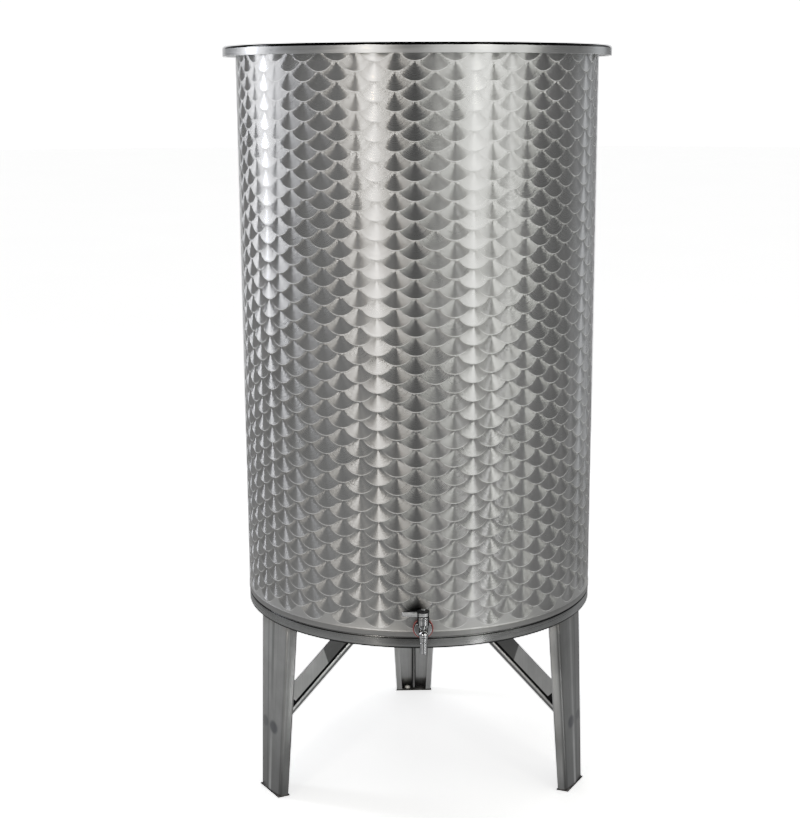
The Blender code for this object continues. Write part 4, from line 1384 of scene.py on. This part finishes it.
class WINETANK_OT_lid(bpy.types.Operator):
    """Press the floating lid's floor and wall, and lay the air tube in its channel."""

    bl_idname = "winetank.lid"
    bl_label = "Floating lid"

    # Radii of the two rings pressed up in the floor, and the section of one: half widths, heights
    RINGS = (0.090, 0.245)
    RING_SECTION = ((-0.004, 0), (-0.002, 0.0009), (0, 0.0012), (0.002, 0.0009), (0.004, 0))

    def execute(self, context):
        steps = context.scene.tank_sizes.round_steps
        low, high, edge, soft, middle = LID_LOW, LID_SHEET_TOP, LID_EDGE_R, 0.0006, 0.020
        profile = [(middle, high)]
        profile += [(ring + off, high + up) for ring in self.RINGS for off, up in self.RING_SECTION]
        profile += [(edge - soft, high), (edge, high - soft), (edge, low + soft),
                    (edge - soft, low), (middle, low)]
        floor = turn_piece("lid_plate", profile, steps)
        dress(to_drum(floor), "satin_sheet", "brushed_steel", TANK, "lid_floor")

        bend, brim, foot = 0.0040, LID_BRIM_TOP, LID_SHEET_TOP + GAP
        inner, half = LID_WALL_R - LID_SHEET, LID_SHEET / 2
        centre = (inner + bend, brim - bend)
        profile = [(inner, foot)] + arc(centre, bend, 180, 90, 5)
        profile += arc((LID_BRIM_R - half, brim - half), half, 90, -90, 6)
        profile += arc(centre, bend - LID_SHEET, 90, 180, 4) + [(LID_WALL_R, foot)]
        wall = turn_piece("lid_dish_wall", profile, steps, ring=True)
        dress(to_drum(wall), "satin_sheet", "brushed_steel", TANK, "lid_wall")

        line = [(x, y, foot) for x, y in arc((0, 0), inner - 0.0004, 0, 360, 128)[:-1]]
        bead = rod_along("lid_weld", line, 0.0013, closed=True, around=1)
        dress(to_drum(bead), "weld_metal", "brushed_steel", TANK, smooth=60.0)

        round_line = arc((WALL_IN - GAP - TUBE_R, TUBE_Z), TUBE_R, 95, -265, 40)[:-1]
        tube = turn_piece("air_tube", round_line, steps, ring=True)
        dress(to_drum(tube), "tube_rubber", "tube_rubber", TANK, "lid_tube", smooth=60.0)
        return {"FINISHED"}


class WINETANK_OT_lid_fittings(bpy.types.Operator):
    """Turn the air valve and the breather, and bend the two handles of the lid."""

    bl_idname = "winetank.lid_fittings"
    bl_label = "Lid fittings"

    def execute(self, context):
        self.turn_valve()
        self.turn_breather()
        self.bend_handles()
        return {"FINISHED"}

    def turn_valve(self):
        """The tube's valve: a collar, a threaded stem and its cap."""
        stem = 0.0050
        profile = [(0.0085, 0.0004), (0.0085, 0.0040), (0.0078, 0.0060), (stem, 0.0060)]
        profile += thread(stem, 0.0066, 0.0165)
        profile += [(0.0044, 0.0172), (stem, 0.0176), (stem, 0.0268), (0.0042, 0.0280)]
        valve = turn_piece("tube_valve", profile, 64)
        move_piece(valve, (0, -(LID_WALL_R - LID_SHEET - 2 * GAP), 0), (-90, 0, 0))
        move_piece(valve, (0, 0, TUBE_Z))
        dress(to_drum(valve, 150.0), "tap_plating", "chrome", TANK, "air_valve", smooth=25.0)

    def turn_breather(self):
        """The breather's flanged body and its ribbed black cap."""
        foot = LID_SHEET_TOP + GAP
        top = foot + 0.0340
        profile = [(0.0300, foot + 0.0006)] + arc((0.0280, foot + 0.0040), 0.0020, 0, 90, 4)
        profile += [(0.0210, foot + 0.0060), (0.0190, foot + 0.0080), (0.0190, top - 0.0060),
                    (0.0180, top - 0.0050), (0.0180, top)]
        body = to_drum(turn_piece("breather_neck", profile, 96))
        dress(body, "satin_sheet", "brushed_steel", TANK, "breather_body", smooth=25.0)

        low, high, radius = top + GAP, top + GAP + 0.0140, 0.0260
        profile = [(radius - 0.0007, low), (radius, low + 0.0007), (radius, high - 0.0040)]
        profile += arc((0.0230, high - 0.0040), 0.0030, 15, 90, 5)
        profile += [(0.0120, high), (0.0115, high - 0.0006), (0.0040, high - 0.0006)]
        sides = 64
        cap = turn_piece("breather_lid", profile, sides)

        def is_rib(face):
            """Each second upright face round the cap's side."""
            turn = math.atan2(face.normal.y, face.normal.x) / math.tau + 1
            upright = abs(face.normal.z) < 0.1 and face.calc_area() > 1e-5
            return upright and math.floor(turn * sides) % 2 == 0

        edit(cap)
        pick(cap, "faces", is_rib)
        bpy.ops.mesh.extrude_faces_move(TRANSFORM_OT_shrink_fatten={"value": -0.0006})
        close_edit()
        dress(to_drum(cap), "black_cap", "black_plastic", TANK, "breather_cap", smooth=25.0)

    def bend_handles(self):
        """A bent rod on two round weld feet, copied to the other side of the breather."""
        foot = LID_SHEET_TOP + GAP
        half, bend, rod = 0.0600, 0.0180, 0.0040
        crown = foot + 0.0480 - rod
        right = arc((half - bend, crown - bend), bend, 0, 90, 10)
        left = arc((bend - half, crown - bend), bend, 90, 180, 10)
        route = [(half, foot + 0.0005)] + right + left + [(-half, foot + 0.0005)]
        handle = rod_along("handle", [(across, 0, up) for across, up in route], rod, around=5)
        weld_line = [(0.0058, foot), (0.0052, foot + 0.0012), (0.0038, foot + 0.0024)]
        for side in (-1, 1):
            weld = turn_piece("foot_weld", weld_line, 32)
            join_pieces(handle, move_piece(weld, (side * half, 0, 0)))
        for name, offset in (("front", -0.17), ("back", 0.17)):
            piece = to_drum(move_piece(copy_piece(handle, "bent_handle_" + name), (0, offset, 0)))
            dress(piece, "satin_sheet", "brushed_steel", TANK, "lid_handle_" + name)
        drop(handle)


# Softboxes round the tank: azimuth, distance, lowest and highest point, width, radiance, colour,
# and how much of each shows again in the floor
SOFTBOXES = (
    (-29.4, 2.9, 0.50, 2.70, 0.22, 12.2, (1.0, 0.945, 0.875), 0.06),
    (13.0, 2.9, 0.60, 2.70, 0.50, 0.85, (1.0, 1.0, 0.95), 0.0),
    (34.5, 2.9, 0.66, 2.70, 0.42, 7.1, (0.99, 1.0, 0.93), 0.03),
    (56.5, 2.9, 0.60, 2.70, 0.30, 3.4, (0.99, 1.0, 0.94), 0.06),
    (-107.0, 2.6, 0.85, 2.80, 0.44, 12.0, (0.91, 0.93, 1.0), 0.01),
    (125.0, 2.6, 0.00, 2.40, 0.75, 0.5, (0.91, 0.95, 1.0), 0.10),
    (160.0, 2.9, 0.20, 2.60, 0.90, 1.0, (0.94, 0.96, 1.0), 0.10),
    (178.0, 2.9, 0.20, 2.60, 0.60, 3.0, (1.0, 1.0, 1.0), 0.06),
    (-160.0, 2.9, 0.20, 2.60, 0.90, 0.9, (0.96, 0.97, 1.0), 0.10),
)
# Narrow streaks of window light low on the floor: azimuth, width, radiance
FLOOR_STREAKS = ((35.0, 0.11, 4.6),)

# The room: what the eye, the steel above and below the horizon, and the other materials see
ROOM_SEEN = 2.3
ROOM_ABOVE = 0.19
ROOM_BELOW = 0.41
ROOM_FILL = 1.0
FLOOR_GLOW = 1.38

# Darker sides of the room: azimuth, cosines of where they start and are full, and what is left
# there. They fade below the horizon, between two sines of the height.
ROOM_DARK = ((-7.5, 0.960, 0.990, 0.38), (92.0, 0.920, 0.975, 0.72))
ROOM_DARK_FADES = (-0.62, -0.34)
# The dark ceiling before the tank and the tank's own shadow on the floor, as sines of their heights
CEILING_DARK = (0.42, 0.56)
SHADOW_DARK = (-0.68, -0.86)

# Highlights ease off towards white: scene light and the picture's light
WHITE_LEVEL = 2.2
SHOULDER = ((0.2, 0.20), (0.4, 0.39), (0.7, 0.56), (1.0, 0.66), (1.5, 0.77), (2.0, 0.89))


class WINETANK_OT_stage(bpy.types.Operator):
    """Lay the pale floor, hang the soft lights and set the camera."""

    bl_idname = "winetank.stage"
    bl_label = "Floor, lights and camera"

    def execute(self, context):
        self.lay_floor(context.scene.tank_finish)
        self.hang_lights()
        self.light_room(context)
        self.set_view(context.scene.view_settings)
        self.set_camera(context)
        return {"FINISHED"}

    def lay_floor(self, look):
        """A wide round floor."""
        clear_selection()
        bpy.ops.mesh.primitive_circle_add(vertices=128, radius=30.0, fill_type="NGON",
                                          location=(0, 0, 0))
        floor = take("pale_floor")
        finish = Finish("pale_floor")
        cloud = finish.noise(finish.place(), 0.8, 2.0, 0.5)
        tone = finish.ramp(cloud, 0.2, 0.8, 0.985, 1.0)
        finish.set(Base_Color=finish.scaled(tuple(look.floor), tone), Roughness=0.9,
                   Emission_Color=(1.0, 1.0, 1.0, 1.0), Emission_Strength=FLOOR_GLOW)
        floor.data.materials.append(finish.material)
        floor.visible_glossy = False
        floor.visible_diffuse = False
        floor.visible_shadow = False

    def hang_lights(self):
        """Upright softboxes round the tank, and their dimmer images in the floor."""
        for azimuth, distance, low, high, width, radiance, tint, image in SOFTBOXES:
            size, middle = (width, high - low), (low + high) / 2
            self.hang_box("softbox", azimuth, distance, middle, size, radiance, tint)
            self.hang_box("floor_image", azimuth, distance, -middle, size, radiance * image, tint)
        for azimuth, width, radiance in FLOOR_STREAKS:
            self.hang_box("floor_streak", azimuth, 2.4, -0.9, (width, 1.4), radiance)

    def light_room(self, context):
        """A room that is pale to the eye and dim in the steel."""
        world = bpy.data.worlds.new("studio")
        context.scene.world = world
        world.use_nodes = True
        room = Nodes(world.node_tree)
        background = room.tree.nodes["Background"]
        background.inputs["Color"].default_value = (1, 1, 1, 1)
        way = room.add("TexCoord", {}, "Generated")
        _, depth, up = room.parts(way)
        steel = room.ramp(up, -0.75, -0.05, ROOM_BELOW, ROOM_ABOVE)
        level = room.vector("NORMALIZE", room.vector("MULTIPLY", way, (1, 1, 0)))
        for azimuth, start, full, left in ROOM_DARK:
            angle = math.radians(azimuth)
            facing = room.vector("DOT_PRODUCT", level, (math.sin(angle), -math.cos(angle), 0))
            left = room.ramp(up, *ROOM_DARK_FADES, 1.0, left)
            steel = steel * room.ramp(facing, start, full, 1.0, left)
        ceiling = room.ramp(up, *CEILING_DARK) * room.ramp(depth, 0.10, 0.30, 1.0, 0.0)
        dark = room.larger(ceiling, room.ramp(up, *SHADOW_DARK, 0.0, 1.0))
        steel = steel * (1.0 - dark * 0.96)
        light = room.either(room.add("LightPath", {}, "Is Glossy Ray"), ROOM_FILL, steel)
        light = room.either(room.add("LightPath", {}, "Is Camera Ray"), light, ROOM_SEEN)
        room.feed(light, background.inputs["Strength"])

    def hang_box(self, name, azimuth, distance, height, size, radiance, tint=(1, 1, 1)):
        """One upright softbox that faces the tank's axis."""
        clear_selection()
        angle = math.radians(azimuth)
        place = (math.sin(angle) * distance, AXIS_Y - math.cos(angle) * distance, height)
        bpy.ops.object.light_add(type="AREA", location=place)
        light = take(f"{name}_{round(azimuth)}")
        light.data.shape = "RECTANGLE"
        light.data.size, light.data.size_y = size
        light.data.energy = radiance * math.pi * size[0] * size[1]
        light.data.color = tint
        light.rotation_euler = (math.radians(90), 0, angle)
        light.visible_camera = False

    def set_view(self, view):
        """The picture's tones: as they are, with a soft shoulder for the highlights."""
        view.view_transform = "Standard"
        view.use_curve_mapping = True
        mapping = view.curve_mapping
        mapping.white_level = (WHITE_LEVEL,) * 3
        curve = mapping.curves[3]
        for light, shown in SHOULDER:
            curve.points.new(light / WHITE_LEVEL, shown)
        mapping.update()

    def set_camera(self, context):
        """The photograph's own viewpoint."""
        yaw, tilt, roll = map(math.radians, (CAMERA_AZIMUTH, CAMERA_TILT, CAMERA_ROLL))
        side, inwards = math.sin(yaw), math.cos(yaw)
        place = (side * CAMERA_DISTANCE, AXIS_Y - inwards * CAMERA_DISTANCE, CAMERA_HEIGHT)
        ahead = Vector((-side * math.cos(tilt), inwards * math.cos(tilt), -math.sin(tilt)))
        level = Vector((inwards, side, 0))
        right = level * math.cos(roll) + ahead.cross(level) * math.sin(roll)
        up = right.cross(ahead)
        clear_selection()
        bpy.ops.object.camera_add(location=place)
        camera = take("photo_camera")
        camera.rotation_euler = Matrix((right, up, -ahead)).transposed().to_euler()
        wide, tall = FRAME_PIXELS
        camera.data.sensor_width = 36.0
        camera.data.lens = FOCAL_PIXELS * camera.data.sensor_width / max(wide, tall)
        camera.data.shift_x = (wide / 2 - OPTICAL_CENTRE[0]) / max(wide, tall)
        camera.data.shift_y = (OPTICAL_CENTRE[1] - tall / 2) / max(wide, tall)
        context.scene.camera = camera


class WINETANK_PT_panel(bpy.types.Panel):
    """Lists the pieces of the tank and their settings."""

    bl_idname = "WINETANK_PT_panel"
    bl_label = "Wine Tank"
    bl_space_type = "VIEW_3D"
    bl_region_type = "UI"
    bl_category = "Wine Tank"

    def draw(self, context):
        for operator in OPERATORS:
            self.layout.operator(operator.bl_idname)
        for group in (context.scene.tank_sizes, context.scene.tank_finish):
            for name in group.__annotations__:
                self.layout.prop(group, name)


OPERATORS = (WINETANK_OT_drum, WINETANK_OT_rim, WINETANK_OT_foot, WINETANK_OT_legs,
             WINETANK_OT_braces, WINETANK_OT_feet, WINETANK_OT_tap_seat, WINETANK_OT_tap_body,
             WINETANK_OT_lever, WINETANK_OT_lid, WINETANK_OT_lid_fittings, WINETANK_OT_stage)
CLASSES = (TankSizes, TankFinish, *OPERATORS, WINETANK_PT_panel)


def register():
    """Add the tank's classes and its two groups of settings."""
    for made in CLASSES:
        bpy.utils.register_class(made)
    bpy.types.Scene.tank_sizes = PointerProperty(type=TankSizes)
    bpy.types.Scene.tank_finish = PointerProperty(type=TankFinish)


def unregister():
    """Take them out again."""
    del bpy.types.Scene.tank_finish
    del bpy.types.Scene.tank_sizes
    for made in reversed(CLASSES):
        bpy.utils.unregister_class(made)


def main():
    """Make each piece of the tank in turn."""
    register()
    for operator in OPERATORS:
        group, name = operator.bl_idname.split(".")
        getattr(getattr(bpy.ops, group), name)()
    clear_selection()


if __name__ == "__main__":
    main()
